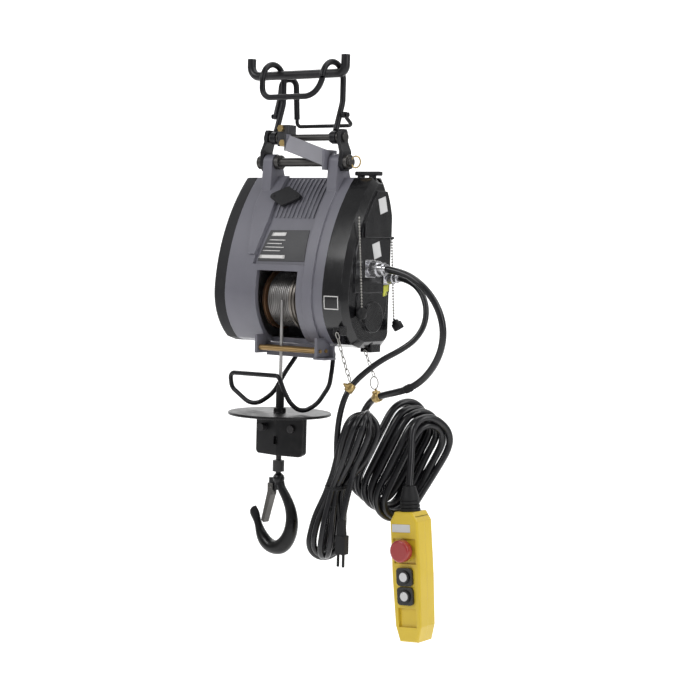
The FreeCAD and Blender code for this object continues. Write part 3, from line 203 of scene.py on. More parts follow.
BLACK = (0.012, 0.012, 0.014)
MATS = {
    "casing": finish_of("casing_paint", (0.150, 0.148, 0.176), 0.42, tint=0.07, grain=900, bump=0.25,
                        edge_wear_and_sheen=0.5, edge_wear_and_sheen_color=(0.40, 0.40, 0.43), coat=0.15, edge=0.0012),
    "brace": finish_of("brace_paint", (0.165, 0.163, 0.192), 0.42, tint=0.08, grain=900, bump=0.22,
                       edge_wear_and_sheen=0.55, edge_wear_and_sheen_color=(0.42, 0.42, 0.44), coat=0.1,
                       color=split_at("X", -0.0222, (0.02, 0.02, 0.022))),
    "left_cover": finish_of("left_cover_paint", (0.010, 0.010, 0.012), 0.55, tint=0.10, grain=1100, bump=0.30,
                            edge_wear_and_sheen=0.3, edge_wear_and_sheen_color=(0.12, 0.12, 0.13), edge=0.0015, dust=0.02),
    # the light rubbed-edge colour here is partly real rubbing and partly painted highlight lines along the
    # rim's rounded edges
    "right_cover": finish_of("right_cover_gloss", (0.004, 0.004, 0.005), 0.22, tint=0.10, grain=700,
                             bump=0.05, edge_wear_and_sheen=0.3, edge_wear_and_sheen_color=(0.24, 0.24, 0.26), coat=0.6,
                             edge=0.0018, dust=0.012),
    "yoke": finish_of("yoke_paint", (0.010, 0.010, 0.012), 0.36, tint=0.2, grain=700, bump=0.20, edge_wear_and_sheen=0.5,
                      edge_wear_and_sheen_color=(0.22, 0.22, 0.24), coat=0.1, dust=0.02),
    "dark_rod": finish_of("dark_rod", (0.008, 0.008, 0.010), 0.34, metal=0.2, tint=0.2, grain=800, bump=0.15,
                          edge_wear_and_sheen=0.5, edge_wear_and_sheen_color=(0.22, 0.22, 0.24), dust=0.02),
    "dark_steel": finish_of("dark_steel", (0.026, 0.025, 0.027), 0.42, metal=0.3, tint=0.25, grain=600,
                            bump=0.22, edge_wear_and_sheen=0.8, edge_wear_and_sheen_color=(0.22, 0.21, 0.21), dust=0.05),
    "zinc": finish_of("zinc_steel", (0.34, 0.33, 0.31), 0.36, metal=0.9, tint=0.15, grain=900, bump=0.12,
                      edge_wear_and_sheen=0.3, edge_wear_and_sheen_color=(0.6, 0.6, 0.6)),
    "rod_zinc": finish_of("oiled_rod", (0.075, 0.072, 0.070), 0.36, metal=0.8, tint=0.25, grain=900,
                          bump=0.12, edge_wear_and_sheen=0.5, edge_wear_and_sheen_color=(0.4, 0.4, 0.4), dust=0.05),
    "chrome": finish_of("connector_chrome", (0.72, 0.72, 0.74), 0.20, metal=1.0, tint=0.05, grain=900,
                        bump=0.03, edge=0.0004),
    "brass": finish_of("guide_brass", (0.36, 0.235, 0.10), 0.38, metal=0.75, tint=0.2, grain=300, bump=0.12,
                       edge_wear_and_sheen=0.4, edge_wear_and_sheen_color=(0.62, 0.47, 0.26), stretch=(0.06, 1.0, 1.0)),
    "clip": finish_of("clip_brass", (0.50, 0.36, 0.15), 0.34, metal=0.9, tint=0.2, grain=500, bump=0.1,
                      edge_wear_and_sheen=0.4, edge_wear_and_sheen_color=(0.8, 0.66, 0.4)),
    "drum": finish_of("drum_steel", (0.22, 0.20, 0.18), 0.36, metal=0.85, tint=0.2, grain=400, bump=0.12,
                      stretch=(8.0, 1.0, 1.0), color=split_at("X", -0.030, (0.40, 0.22, 0.12))),
    "rope": finish_of("wire_strands", (0.50, 0.49, 0.48), 0.34, metal=0.8, tint=0.2, grain=2600, bump=0.30,
                      depth=0.0003, stretch=(1.0, 1.0, 0.25)),
    # darker copy of the rope finish: painted shade for the rope wound inside the casing window
    "winding": finish_of("shaded_winding", (0.29, 0.28, 0.275), 0.36, metal=0.8, tint=0.25, grain=2600,
                         bump=0.30, depth=0.0003, stretch=(1.0, 1.0, 0.25)),
    "rubber": finish_of("rubber", (0.008, 0.008, 0.009), 0.55, tint=0.15, grain=1600, bump=0.25),
    "disc": finish_of("disc_paint", (0.014, 0.014, 0.015), 0.34, metal=0.45, tint=0.2, grain=500, bump=0.1,
                      edge_wear_and_sheen=0.9, edge_wear_and_sheen_color=(0.22, 0.21, 0.21), dust=0.03),
    "weight": finish_of("weight_paint", (0.007, 0.007, 0.008), 0.42, metal=0.2, tint=0.2, grain=600, bump=0.2,
                        edge_wear_and_sheen=0.6, edge_wear_and_sheen_color=(0.14, 0.12, 0.11), dust=0.03),
    "hook": finish_of("forged_hook", (0.006, 0.006, 0.007), 0.32, metal=0.3, tint=0.3, grain=260, bump=0.30,
                      depth=0.0004, edge_wear_and_sheen=0.6, edge_wear_and_sheen_color=(0.16, 0.16, 0.17), coat=0.2, dust=0.015),
    "latch": finish_of("latch_steel", (0.10, 0.095, 0.09), 0.36, metal=0.8, tint=0.2, grain=600, bump=0.1,
                       edge_wear_and_sheen=0.5, edge_wear_and_sheen_color=(0.4, 0.4, 0.4)),
    "cable": finish_of("cable_sheath", (0.006, 0.006, 0.008), 0.30, tint=0.12, grain=1400, bump=0.05,
                       coat=0.35, edge=0.0002, dust=0.02),
    "yellow": finish_of("pendant_shell", (0.66, 0.47, 0.025), 0.36, tint=0.04, grain=1500, bump=0.16,
                        coat=0.25, edge=0.0012, edge_wear_and_sheen=0.15, edge_wear_and_sheen_color=(0.9, 0.8, 0.4)),
    "red": finish_of("stop_button", (0.34, 0.026, 0.026), 0.32, tint=0.06, grain=900, bump=0.05, coat=0.4),
    "bezel": finish_of("button_bezel", (0.014, 0.014, 0.015), 0.30, tint=0.1, grain=1200, bump=0.08, coat=0.4,
                       edge_wear_and_sheen=0.3, edge_wear_and_sheen_color=(0.2, 0.2, 0.2)),
    "label": finish_of("blank_labels", (0.62, 0.62, 0.62), 0.42, tint=0.04, grain=700, bump=0.05,
                       color=split_at("X", 0.10, (0.026, 0.026, 0.030))),
    "strip": finish_of("pale_strip", (0.74, 0.73, 0.72), 0.45, tint=0.04, grain=900, bump=0.05),
    "tag": finish_of("yellow_tag", (0.60, 0.62, 0.07), 0.45, tint=0.08, grain=600, bump=0.1),
    "diamond": finish_of("terminal_cover", (0.010, 0.010, 0.012), 0.45, tint=0.15, grain=900, bump=0.2,
                         edge_wear_and_sheen=0.4, edge_wear_and_sheen_color=(0.2, 0.2, 0.2)),
    "inner": finish_of("cast_inner", (0.40, 0.40, 0.41), 0.45, metal=0.8, tint=0.1, grain=500, bump=0.25),
    "gear": finish_of("gear_steel", (0.36, 0.36, 0.37), 0.30, metal=1.0, tint=0.1, grain=700, bump=0.08),
    "motor": finish_of("laminations", (0.16, 0.16, 0.17), 0.42, metal=0.8, tint=0.15, grain=500, bump=0.3,
                       stretch=(8.0, 0.4, 0.4)),
    "plastic": finish_of("inner_plastic", (0.020, 0.020, 0.022), 0.5, tint=0.1, grain=900, bump=0.15),
}
NODE_MATS = {
    "hanging_yoke": "yoke", "pipe_hook": "dark_rod", "safety_bail": "dark_rod", "link_plates": "yoke",
    "upper_cross_rod": "rod_zinc", "lower_pivot_bar": "rod_zinc", "brace_plate": "brace",
    "link_fasteners": "clip",
    "main_casing": "casing", "left_end_cover": "left_cover", "right_end_cover": "right_cover",
    "cover_screws": "zinc", "blank_labels": "label", "diamond_cover": "diamond",
    "rope_guide_bracket": "casing", "rope_guide_rods": "brass", "carry_handle": "left_cover",
    "bearing_plate": "inner", "gearbox_plates": "inner",
    "bearings": "gear", "motor_stator": "motor", "brake_coil": "motor", "contactor": "plastic",
    "motor_rotor": "motor", "motor_shaft": "gear", "cooling_fan": "plastic", "brake_disc": "gear",
    "layshaft_gear": "gear", "rope_drum": "drum", "drum_gear": "gear", "drum_shaft": "gear",
    "rope_sleeve": "rubber", "stopper_disc": "disc", "counterweight": "weight", "swivel_stem": "dark_steel",
    "load_hook": "hook", "hook_latch": "latch", "limit_lever": "dark_rod", "limit_switch": "plastic",
    "panel_sockets": "chrome", "cable_connectors": "chrome", "power_plug": "rubber",
    "pendant_front": "yellow", "pendant_back": "yellow", "pendant_boot": "rubber", "button_bezels": "bezel",
    "e_stop_button": "red", "switch_block": "plastic",
}


def paint(obj, mat):
    obj.data.materials.clear()
    obj.data.materials.append(mat)


for node, key in NODE_MATS.items():
    paint(NODES[node], MATS[key])
for node in ("up_button", "down_button"):
    low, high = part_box(node)
    centre = ((low[0] + high[0]) / 2, (low[2] + high[2]) / 2)
    cap = finish_of(node + "_cap", (0.62, 0.62, 0.63), 0.30, metal=0.6, tint=0.06, grain=900, bump=0.06,
                    color=ring_about(centre, 6.4 * MM, BLACK))
    paint(NODES[node], cap)


# ---- mesh helpers ----
def mesh_object(name, verts, faces, mat, smooth=True):
    data = bpy.data.meshes.new(name)
    data.from_pydata(verts, [], faces)
    data.update()
    if smooth:
        data.shade_smooth()
    obj = bpy.data.objects.new(name, data)
    bpy.context.collection.objects.link(obj)
    obj.data.materials.append(mat)
    return obj


def joined(name, pieces, mat):
    """One object out of (verts, faces) pieces."""
    verts, faces = [], []
    for piece_verts, piece_faces in pieces:
        start = len(verts)
        verts += piece_verts
        faces += [tuple(i + start for i in face) for face in piece_faces]
    return mesh_object(name, verts, faces, mat)


def frames_along(points, closed=False):
    """Tangent, side and up at each point, turned as little as possible from one to the next."""
    count = len(points)
    result = []
    side = None
    for i in range(count):
        before = points[i - 1] if i or closed else points[0]
        after = points[(i + 1) % count] if i < count - 1 or closed else points[-1]
        tangent = (after - before).normalized()
        if side is None:
            helper = Vector((0, 0, 1)) if abs(tangent.z) < 0.9 else Vector((1, 0, 0))
            side = tangent.cross(helper).normalized()
        side = (side - tangent * side.dot(tangent)).normalized()
        result.append((tangent, side, tangent.cross(side)))
    return result


def sweep(points, profile, closed=False):
    """Tube along points; profile(i, angle) gives the radius there. Ends are capped."""
    sides = profile.sides
    verts, faces = [], []
    for i, (point, (_, side, up)) in enumerate(zip(points, frames_along(points, closed))):
        for k in range(sides):
            a = 2 * math.pi * k / sides
            r = profile(i, a)
            verts.append(point + side * (r * math.cos(a)) + up * (r * math.sin(a)))
    rings = len(points)
    for i in range(rings if closed else rings - 1):
        j = (i + 1) % rings
        for k in range(sides):
            m = (k + 1) % sides
            faces.append((i * sides + k, i * sides + m, j * sides + m, j * sides + k))
    if not closed:
        faces.append(tuple(range(sides))[::-1])
        faces.append(tuple((rings - 1) * sides + k for k in range(sides)))
    return verts, faces


class Round:
    """Plain round section."""

    def __init__(self, radius, sides=12):
        self.radius, self.sides = radius, sides

    def __call__(self, i, angle):
        return self.radius


class Strands:
    """Section of a laid wire rope: six lobes that turn along its length."""

    def __init__(self, radius, step, lay, sides=30):
        self.radius, self.step, self.lay, self.sides = radius, step, lay, sides

    def __call__(self, i, angle):
        turn = 2 * math.pi * i * self.step / self.lay
        return self.radius * (0.86 + 0.14 * abs(math.cos(3 * (angle + turn))))


def lathe(profile, origin, axis, sides=32):
    """Surface of revolution: profile is a list of (along, radius)."""
    axis = Vector(axis).normalized()
    side = axis.orthogonal().normalized()
    up = axis.cross(side)
    verts = []
    for along, r in profile:
        for k in range(sides):
            a = 2 * math.pi * k / sides
            verts.append(Vector(origin) + axis * along + side * (r * math.cos(a)) + up * (r * math.sin(a)))
    faces = []
    for i in range(len(profile) - 1):
        for k in range(sides):
            m = (k + 1) % sides
            faces.append((i * sides + k, i * sides + m, (i + 1) * sides + m, (i + 1) * sides + k))
    faces.append(tuple(range(sides))[::-1])
    faces.append(tuple((len(profile) - 1) * sides + k for k in range(sides)))
    return verts, faces


def ball(centre, radius, rings=6, sides=8):
    verts = [Vector(centre) + Vector((0, 0, radius))]
    for i in range(1, rings):
        lat = math.pi * i / rings
        for k in range(sides):
            a = 2 * math.pi * k / sides
            verts.append(Vector(centre) + radius * Vector(
                (math.sin(lat) * math.cos(a), math.sin(lat) * math.sin(a), math.cos(lat))))
    verts.append(Vector(centre) - Vector((0, 0, radius)))
    faces = [(0, 1 + k, 1 + (k + 1) % sides) for k in range(sides)]
    for i in range(rings - 2):
        for k in range(sides):
            a, b = 1 + i * sides + k, 1 + i * sides + (k + 1) % sides
            faces.append((a, a + sides, b + sides, b))
    last = len(verts) - 1
    base = 1 + (rings - 2) * sides
    faces += [(last, base + (k + 1) % sides, base + k) for k in range(sides)]
    return verts, faces


def link_loop(centre, along, across, half_len, half_w, wire):
    """One chain link: a closed oval of round wire."""
    points = []
    for k in range(20):
        a = 2 * math.pi * k / 20
        points.append(centre + along * (half_len * math.cos(a)) + across * (half_w * math.sin(a)))
    return sweep(points, Round(wire, 8), closed=True)


def chain_links(top, low, pitch, half_w, wire, sag=0.0):
    """Oval links from one point to another, each turned a quarter against its neighbour."""
    top, low = Vector(top), Vector(low)
    count = max(2, round((low - top).length / pitch))
    along = (low - top).normalized()
    side = along.orthogonal().normalized()
    other = along.cross(side)
    pieces = []
    for k in range(count):
        t = (k + 0.5) / count
        centre = top.lerp(low, t) + side * (sag * math.sin(math.pi * t))
        step = (low - top).length / count
        turn = math.pi / 4 + (math.pi / 2 if k % 2 else 0) + rng.uniform(-0.25, 0.25)
        across = side * math.cos(turn) + other * math.sin(turn)
        pieces.append(link_loop(centre, along, across, step / 2 + wire * 1.3, half_w, wire))
    return pieces


# ---- cords ----
def cord_curve(name, points, diameter, mat):
    """A cable as one open NURBS spline through its control points."""
    data = bpy.data.curves.new(name, "CURVE")
    data.dimensions = "3D"
    data.resolution_u = 6
    data.bevel_depth = diameter / 2
    data.bevel_resolution = 5
    data.use_fill_caps = True
    spline = data.splines.new("NURBS")
    spline.points.add(len(points) - 1)
    for point, co in zip(spline.points, points):
        point.co = (co[0], co[1], co[2], 1.0)
    spline.order_u = 3
    spline.use_endpoint_u = True
    obj = bpy.data.objects.new(name, data)
    bpy.context.collection.objects.link(obj)
    obj.data.materials.append(mat)
    return obj


POWER_DIA = 8.5 * MM
CONTROL_DIA = 10.0 * MM
POWER_EXIT = (152.02, 31, -291)
CONTROL_EXIT = (159.02, -11.5, -278)
POWER_ROUTE = [
    POWER_EXIT, (166, 30, -293), (184, 28, -302), (198, 25, -316), (206, 21, -335),
    (206, 16, -356), (196, 9, -376), (178, 0, -391), (158, -13, -404), (142, -28, -420),
    (130, -43, -437), (122, -53, -456), (116, -57, -484), (113, -58, -516), (114, -58, -548)]
CONTROL_ROUTE = [
    CONTROL_EXIT, (184, -12.5, -281), (209, -13, -291), (231, -12, -308),
    (247, -10, -331), (254, -8, -357), (250, -5, -384), (236, -1, -409), (214, 4, -431),
    (187, 8, -446), (157, 12, -454), (130, 16, -461), (112, 22, -470), (100, 22, -488),
    (98, 17, -510), (103, 8, -529), (111.6, 0, -543)]
DROP_ROUTE = [(191, 15, -507), (196, 8, -531), (200, 0, -556), (202.4, -5, -580)]


def metres(points):
    return [Vector(p) * MM for p in points]


def square_wave(turn):
    """Swings softly between -1 and 1, one turn of the cable each."""
    return max(-1.0, min(1.0, 2.6 * math.sin(math.pi * turn)))


def oval_place(turn, half_long, half_short):
    """Place on a long loop with round ends, walked at an even pace: along and across it."""
    straight, fold = 2 * (half_long - half_short), math.pi * half_short
    lap = 2 * (straight + fold)
    walk = (turn * lap + fold / 2) % lap
    way = 1
    if walk >= straight + fold:
        walk -= straight + fold
        way = -1
    if walk < fold:
        angle = walk / half_short
        return way * (straight / 2 + half_short * math.sin(angle)), -way * half_short * math.cos(angle)
    return way * (straight / 2 - (walk - fold)), way * half_short


def coil_points():
    """Turns of the pendant cable: a long loose ring in two layers that fans out along its stack."""
    centre = Vector((163, 30, -550))
    long_dir = Vector((0.299, 0.342, 0.890)).normalized()
    normal = long_dir.cross(Vector((0.406, 0.814, -0.427))).normalized()
    short_dir = normal.cross(long_dir)
    stack = Vector((65, -3, -35))
    steps, first = 24, 21
    last = (COIL_TURNS - 1) * steps + 12
    points = []
    for k in range(first, last):
        turn = k / steps
        t = (k - first) / (last - first)
        layer = 3.0 * square_wave(turn - 0.2)
        along, across = oval_place(turn, 74.5 + layer + 1.3 * math.sin(5 * turn + 1),
                                   27.5 + layer + math.sin(2.3 * turn + 1))
        points.append(centre + stack * (-0.43 + 0.86 * t) - long_dir * along + short_dir * across)
    return points


def hank_points():
    """Passes of the tied power cable: tall loops turned round the bundle's axis, pinched at the tie."""
    axis = [Vector(p) for p in (
        (155, -40, -466), (153, -41, -478), (146, -44, -505), (133, -50, -545), (115, -58, -586),
        (108, -60, -625), (102.5, -62.5, -665), (95.5, -62.5, -700))]
    tie_z, fold_r, steps = -586, 23.0, 40

    def axis_at(z):
        z = min(max(z, axis[-1].z), axis[0].z)
        for upper, lower in zip(axis, axis[1:]):
            if lower.z <= z <= upper.z:
                return upper.lerp(lower, (upper.z - z) / (upper.z - lower.z))
        return axis[-1]

    points = []
    for k in range(9, HANK_LOOPS * steps + 8):
        loop = k / steps
        high = -477 - 6 * abs(math.sin(2.3 * loop))
        low = -691 + 8 * abs(math.sin(1.7 * loop + 1))
        along, across = oval_place(loop, (high - low) / 2, fold_r)
        z = (high + low) / 2 + along
        way = (axis_at(z + 24) - axis_at(z - 24)).normalized()
        facing = math.radians(180 - 150 * loop / HANK_LOOPS)
        side = Vector((math.cos(facing), -math.sin(facing), 0))
        side = (side - way * side.dot(way)).normalized()
        near_tie = math.exp(-((z - tie_z) / 36) ** 2)
        waist = (1 - 0.48 * near_tie) * (1 - 0.30 * (0.5 + 0.5 * square_wave(loop)) * near_tie)
        fan = 4.0 * (2 * loop / HANK_LOOPS - 1) * max(0.0, min(1.0, (tie_z - z) / 80))
        points.append(axis_at(z) + side * (across * waist) + Vector((0.81, 0.59, 0)) * fan)
    return points


PLUG_TOP = (137, -72, -628)
power_points = metres(POWER_ROUTE) + [p * MM for p in hank_points()]
power_points += metres([(143, -62, -575), (140, -69, -602), PLUG_TOP])
power_cord = cord_curve("power_cable", power_points, POWER_DIA, MATS["cable"])
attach(power_cord, "casing")
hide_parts("power_cord", "power_cord_hank")

control_points = metres(CONTROL_ROUTE[:-1] + [(109, -3, -548)]) + [p * MM for p in coil_points()]
control_points += metres([(214, 56, -495), (208, 43, -487), (200, 30, -486), (194, 20, -494)] + DROP_ROUTE)
control_cord = cord_curve("pendant_cable", control_points, CONTROL_DIA, MATS["cable"])
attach(control_cord, "casing")
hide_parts("pendant_cord", "pendant_cord_coil")


def centreline(curve):
    """Points along a cord's own smooth line."""
    plain = curve.data.copy()
    plain.bevel_depth = 0.0
    ghost = bpy.data.objects.new("line", plain)
    mesh = bpy.data.meshes.new_from_object(ghost)
    line = [v.co.copy() for v in mesh.vertices]
    bpy.data.objects.remove(ghost)
    bpy.data.meshes.remove(mesh)
    bpy.data.curves.remove(plain)
    return line


def spot_on(line, target):
    """Nearest point of a line to a target in millimetres, with the direction there."""
    goal = Vector(target) * MM
    i = min(range(1, len(line) - 1), key=lambda k: (line[k] - goal).length)
    return line[i], (line[i + 1] - line[i - 1]).normalized()


power_line = centreline(power_cord)
control_line = centreline(control_cord)


def ring_round(line, target, radius, length, lip=0.0):
    """Collar round a cable at a place."""
    centre, way = spot_on(line, target)
    half = length / 2
    profile = [(-half, radius * 0.8), (-half, radius), (-half * 0.7, radius + lip),
               (half * 0.7, radius + lip), (half, radius), (half, radius * 0.8)]
    return lathe(profile, centre, way, 24)


# tie of the hank, tape on the pendant cable
TIE_CENTRE = Vector((115, -58, -586))
TAPE_AT = (187, 8, -446)
tie_points = []
for step in range(48):
    angle = 2 * math.pi * step / 48
    reach = Vector((15.4 * math.cos(angle), 15.2 * math.sin(angle), 1.5 * math.sin(angle)))
    tie_points.append((TIE_CENTRE + reach) * MM)
second_turn = [p + Vector((0, 0, 2.6 * MM)) for p in tie_points]
tie = joined("hank_tie", [sweep(tie_points, Round(1.5 * MM, 8), closed=True),
                          sweep(second_turn, Round(1.3 * MM, 8), closed=True)], MATS["rubber"])
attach(tie, "casing")
tape = joined("cable_tape", [ring_round(control_line, TAPE_AT, 5.7 * MM, 11 * MM, 0.3 * MM)],
              MATS["rubber"])
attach(tape, "casing")

# clips and chains that carry the cables
POWER_CLIP = (126, -48, -446)
CONTROL_CLIP = (127, 17, -462)
clip_pieces = []
for line, target, radius in ((power_line, POWER_CLIP, POWER_DIA / 2),
                             (control_line, CONTROL_CLIP, CONTROL_DIA / 2)):
    clip_pieces.append(ring_round(line, target, radius + 0.9 * MM, 13 * MM, 1.3 * MM))
    centre, way = spot_on(line, target)
    up = (Vector((0, 0, 1)) - way * way.z).normalized()
    foot = centre + up * (radius + 1.5 * MM)
    stud = [(0, 3.4 * MM), (2.5 * MM, 3.0 * MM), (4.5 * MM, 1.6 * MM), (6 * MM, 1.4 * MM)]
    clip_pieces.append(lathe(stud, foot, up, 16))
    side = way.cross(up)
    barrel = [(-7 * MM, 1.5 * MM), (-6 * MM, 2.4 * MM), (6 * MM, 2.4 * MM), (7 * MM, 1.5 * MM)]
    clip_pieces.append(lathe(barrel, centre + up * (radius + 2.2 * MM), side, 12))
clips = joined("cable_clips", clip_pieces, MATS["clip"])
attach(clips, "casing")
front_low = spot_on(power_line, POWER_CLIP)[0] + Vector((0, 0, 10 * MM))
rear_low = Vector((122, 17, -433)) * MM
front_top, rear_top = metres([(116, -68, -368), (113, 4, -395)])
chain_pieces = chain_links(front_top, front_low, 8.5 * MM, 2.5 * MM, 0.75 * MM, sag=1.0 * MM)
chain_pieces += chain_links(rear_top, rear_low, 7.5 * MM, 2.1 * MM, 0.65 * MM)
split = []
for step in range(40):
    angle = 2 * math.pi * step / 40
    split.append(Vector((122, 17, -442)) * MM + 9 * MM * (Vector((0.96, -0.28, 0)) * math.cos(angle)
                                                        + Vector((0, 0, 1)) * math.sin(angle)))
chain_pieces.append(sweep(split, Round(0.8 * MM, 8), closed=True))
chains = joined("hanger_chains", chain_pieces, MATS["zinc"])
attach(chains, "casing")
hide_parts("cord_hangers")


# ---- bead chains and dust caps ----
def bead_run(top, low, bead, pitch):
    top, low = Vector(top), Vector(low)
    count = round((low - top).length / pitch)
    pieces = [ball(top.lerp(low, k / count), bead, 6, 10) for k in range(count + 1)]
    pieces.append(sweep([top.lerp(low, k / 4) for k in range(5)], Round(bead * 0.28, 6)))
    return pieces


cap_profile = [
    (0, 1.4), (2, 1.8), (2.5, 4.5), (6, 5.4), (6.6, 7.2), (7.6, 7.7), (16, 7.7), (17, 7.2), (17, 6.2),
    (12, 6.0)]
bead_pieces, cap_pieces = [], []
for top, low, lean in (((129.5, -41, -207), (138, -41, -331), (-0.35, 0.45, -0.80)),
                       ((128.5, 42, -236), (135, 43, -350), (0.40, 0.30, -0.85))):
    bead_pieces += bead_run(Vector(top) * MM, Vector(low) * MM, 1.5 * MM, 4.1 * MM)
    cap_pieces.append(lathe([(a * MM, r * MM) for a, r in cap_profile], Vector(low) * MM, lean, 28))
beads = joined("bead_chains_fine", bead_pieces, MATS["zinc"])
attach(beads, "casing")
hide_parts("bead_chains")
caps = joined("connector_caps", cap_pieces, MATS["rubber"])
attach(caps, "casing")

# ---- wire rope and its winding ----
ROPE_XY = (0.0, -45.5)
DRUM_YZ = (-2.0, -327.0)
DRUM_CENTRE = Vector((0, DRUM_YZ[0], DRUM_YZ[1])) * MM
WINDING_R = 39.1
free_line = [Vector((ROPE_XY[0], ROPE_XY[1], -327 - 1.6 * k)) * MM for k in range(78)]
free_rope = joined("free_rope", [sweep(free_line, Strands(2.5 * MM, 1.6, 30.0))], MATS["rope"])
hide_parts("wire_rope")
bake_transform(free_rope)
winding_line = []
turns, per_turn = 11.4, 64
for step in range(int(turns * per_turn)):
    angle = 2 * math.pi * step / per_turn
    x = -29.9 + 39.8 * step / (turns * per_turn)
    y = DRUM_YZ[0] + WINDING_R * math.cos(angle)
    z = DRUM_YZ[1] + WINDING_R * math.sin(angle)
    winding_line.append(Vector((x, y, z)) * MM)
under_layer = lathe([(-32 * MM, 37.6 * MM), (12 * MM, 37.6 * MM)], DRUM_CENTRE, (1, 0, 0), 64)
winding = joined("rope_winding", [sweep(winding_line, Strands(1.85 * MM, 3.3, 22.0, 18)), under_layer],
                 MATS["winding"])
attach(winding, "drum")
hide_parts("drum_rope")


# ---- thin marks that lie on the skin ----
def skin_decal(name, node, corners, mat, lift=0.0003, way=(0, 1, 0), cells=8):
    """Thin sheet on a CAD surface: corners are (a, b) places across the direction it is seen along."""
    way = Vector(way)
    obj = NODES[node]
    rows = []
    for i in range(cells + 1):
        left = Vector(corners[0]).lerp(Vector(corners[3]), i / cells)
        right = Vector(corners[1]).lerp(Vector(corners[2]), i / cells)
        row = []
        for j in range(cells + 1):
            p = left.lerp(right, j / cells)
            start = Vector((p.x, -0.2, p.y)) if abs(way.y) else Vector((0.3, p.x, p.y))
            hit, place, normal, _ = obj.ray_cast(start, way)
            if not hit:
                return
            row.append(place + normal * lift)
        rows.append(row)
    verts = [v for row in rows for v in row]
    width = cells + 1
    faces = []
    for i in range(cells):
        for j in range(cells):
            a = i * width + j
            faces.append((a, a + 1, a + 1 + width, a + width))
    decal = mesh_object(name, verts, faces, mat)
    solid = decal.modifiers.new("thick", "SOLIDIFY")
    solid.thickness = lift * 0.9
    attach(decal, "casing")


def frame_strips(x0, x1, z0, z1, w):
    """Four strips of an outline, each as corner places in metres."""
    return [
        [(x0, z1 - w), (x1, z1 - w), (x1, z1), (x0, z1)], [(x0, z0), (x1, z0), (x1, z0 + w), (x0, z0 + w)],
        [(x0, z0 + w), (x0 + w, z0 + w), (x0 + w, z1 - w), (x0, z1 - w)],
        [(x1 - w, z0 + w), (x1, z0 + w), (x1, z1 - w), (x1 - w, z1 - w)]]


def mm2(pairs):
    return [(a * MM, b * MM) for a, b in pairs]


for index, strip in enumerate(frame_strips(89.5, 114.5, -336, -317, 1.3)):
    skin_decal("badge_outline_%d" % index, "right_end_cover", mm2(strip), MATS["strip"])
PLATE_MARKS = [
    ((-22, -230.5), (3, -230), (2, -235), (-23.5, -235.5)),
    ((-37, -263), (9, -262.5), (9, -267.5), (-38, -268))]
for row in range(4):
    z, start, end = -240.5 - 5.2 * row, -25 - 2.6 * row, 4 - 5 * (row % 2)
    PLATE_MARKS.append(((start, z), (end, z), (end, z - 1.2), (start - 0.5, z - 1.2)))
for index, corners in enumerate(PLATE_MARKS):
    skin_decal("plate_field_%d" % index, "blank_labels", mm2(corners), MATS["strip"])
TAG_CORNERS = [(24, -318), (37, -316), (37, -300), (24, -302)]
skin_decal("socket_tag", "right_end_cover", mm2(TAG_CORNERS), MATS["tag"], way=(-1, 0, 0))

# ---- floor, light and camera ----
STAGE_GLOW = 0.42
WORLD_LIGHT = 0.29     # what the world sheds on the object
BACKDROP_LIGHT = 0.95  # how bright it looks to the camera
stage_mat = finish_of("studio_white", (0.86, 0.86, 0.86), 0.7, tint=0.01, grain=60, bump=0.02)
stage_shader = stage_mat.node_tree.nodes["Principled BSDF"]
stage_shader.inputs["Emission Color"].default_value = (1.0, 1.0, 1.0, 1.0)
stage_shader.inputs["Emission Strength"].default_value = STAGE_GLOW
verts, faces = [], []
FLOOR_Z, WALL_Y, BEND = -1.25, 4.2, 1.4
profile = [(-7.0, FLOOR_Z), (WALL_Y - BEND, FLOOR_Z)]
for step in range(1, 13):
    angle = math.pi / 2 * step / 12
    profile.append((WALL_Y - BEND + BEND * math.sin(angle), FLOOR_Z + BEND - BEND * math.cos(angle)))
profile.append((WALL_Y, 5.0))
turn = Matrix.Rotation(math.radians(36), 4, "Z")
for y, z in profile:
    for x in (-9.0, 9.0):
        verts.append(turn @ Vector((x, y, z)))
for k in range(len(profile) - 1):
    faces.append((2 * k, 2 * k + 1, 2 * k + 3, 2 * k + 2))
mesh_object("floor", verts, faces, stage_mat)

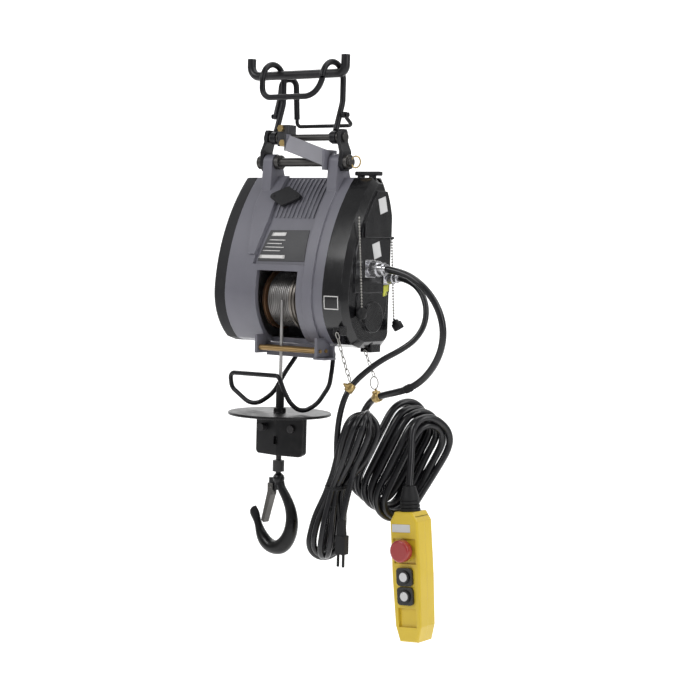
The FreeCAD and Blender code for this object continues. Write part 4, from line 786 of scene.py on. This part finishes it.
world = bpy.data.worlds.new("studio")
world.use_nodes = True
world.node_tree.nodes["Background"].inputs["Color"].default_value = (1.0, 1.0, 1.0, 1.0)
light_path = world.node_tree.nodes.new("ShaderNodeLightPath")
backdrop = world.node_tree.nodes.new("ShaderNodeMapRange")
backdrop.inputs["To Min"].default_value = WORLD_LIGHT
backdrop.inputs["To Max"].default_value = BACKDROP_LIGHT
world.node_tree.links.new(light_path.outputs["Is Camera Ray"], backdrop.inputs["Value"])
world.node_tree.links.new(backdrop.outputs["Result"], world.node_tree.nodes["Background"].inputs["Strength"])
bpy.context.scene.world = world
bpy.context.scene.view_settings.view_transform = "Standard"


def area_light(name, place, size, power, target=(0.05, 0.0, -0.35)):
    lamp = bpy.data.lights.new(name, "AREA")
    lamp.shape = "RECTANGLE"
    lamp.size, lamp.size_y = size
    lamp.energy = power
    obj = bpy.data.objects.new(name, lamp)
    bpy.context.collection.objects.link(obj)
    obj.location = place
    obj.rotation_euler = (Vector(target) - Vector(place)).to_track_quat("-Z", "Y").to_euler()
    return obj


area_light("key", (-0.9, -2.2, 1.3), (1.4, 1.0), 30)
area_light("side", (2.4, -0.4, 0.4), (0.7, 1.8), 16)
area_light("top", (0.3, 0.3, 2.0), (1.6, 1.6), 16)
area_light("wall_left", (-1.5, 1.0, 1.8), (2.0, 2.0), 45, target=(-1.5, 3.2, -0.4))
area_light("wall_right", (2.0, 1.0, 1.8), (2.0, 2.0), 30, target=(-3.5, 2.6, -0.4))

camera = bpy.data.cameras.new("camera")
camera.sensor_width = 36.0
camera.lens = 86.914
camera.clip_start = 0.05
camera_obj = bpy.data.objects.new("camera", camera)
bpy.context.collection.objects.link(camera_obj)
CAMERA_PLACE = (1.51394, -1.95997, -0.23544)
AZIMUTH, PITCH, ROLL = math.radians(36.0), math.radians(3.79), math.radians(1.5)
level = Vector((math.cos(AZIMUTH), math.sin(AZIMUTH), 0.0))
ahead = Vector((-math.sin(AZIMUTH), math.cos(AZIMUTH), 0.0))
forward = ahead * math.cos(PITCH) - Vector((0, 0, math.sin(PITCH)))
upward = level.cross(forward)
right = level * math.cos(ROLL) + upward * math.sin(ROLL)
up = upward * math.cos(ROLL) - level * math.sin(ROLL)
basis = Matrix((right, up, -forward)).transposed().to_4x4()
camera_obj.matrix_world = Matrix.Translation(CAMERA_PLACE) @ basis
bpy.context.scene.camera = camera_obj
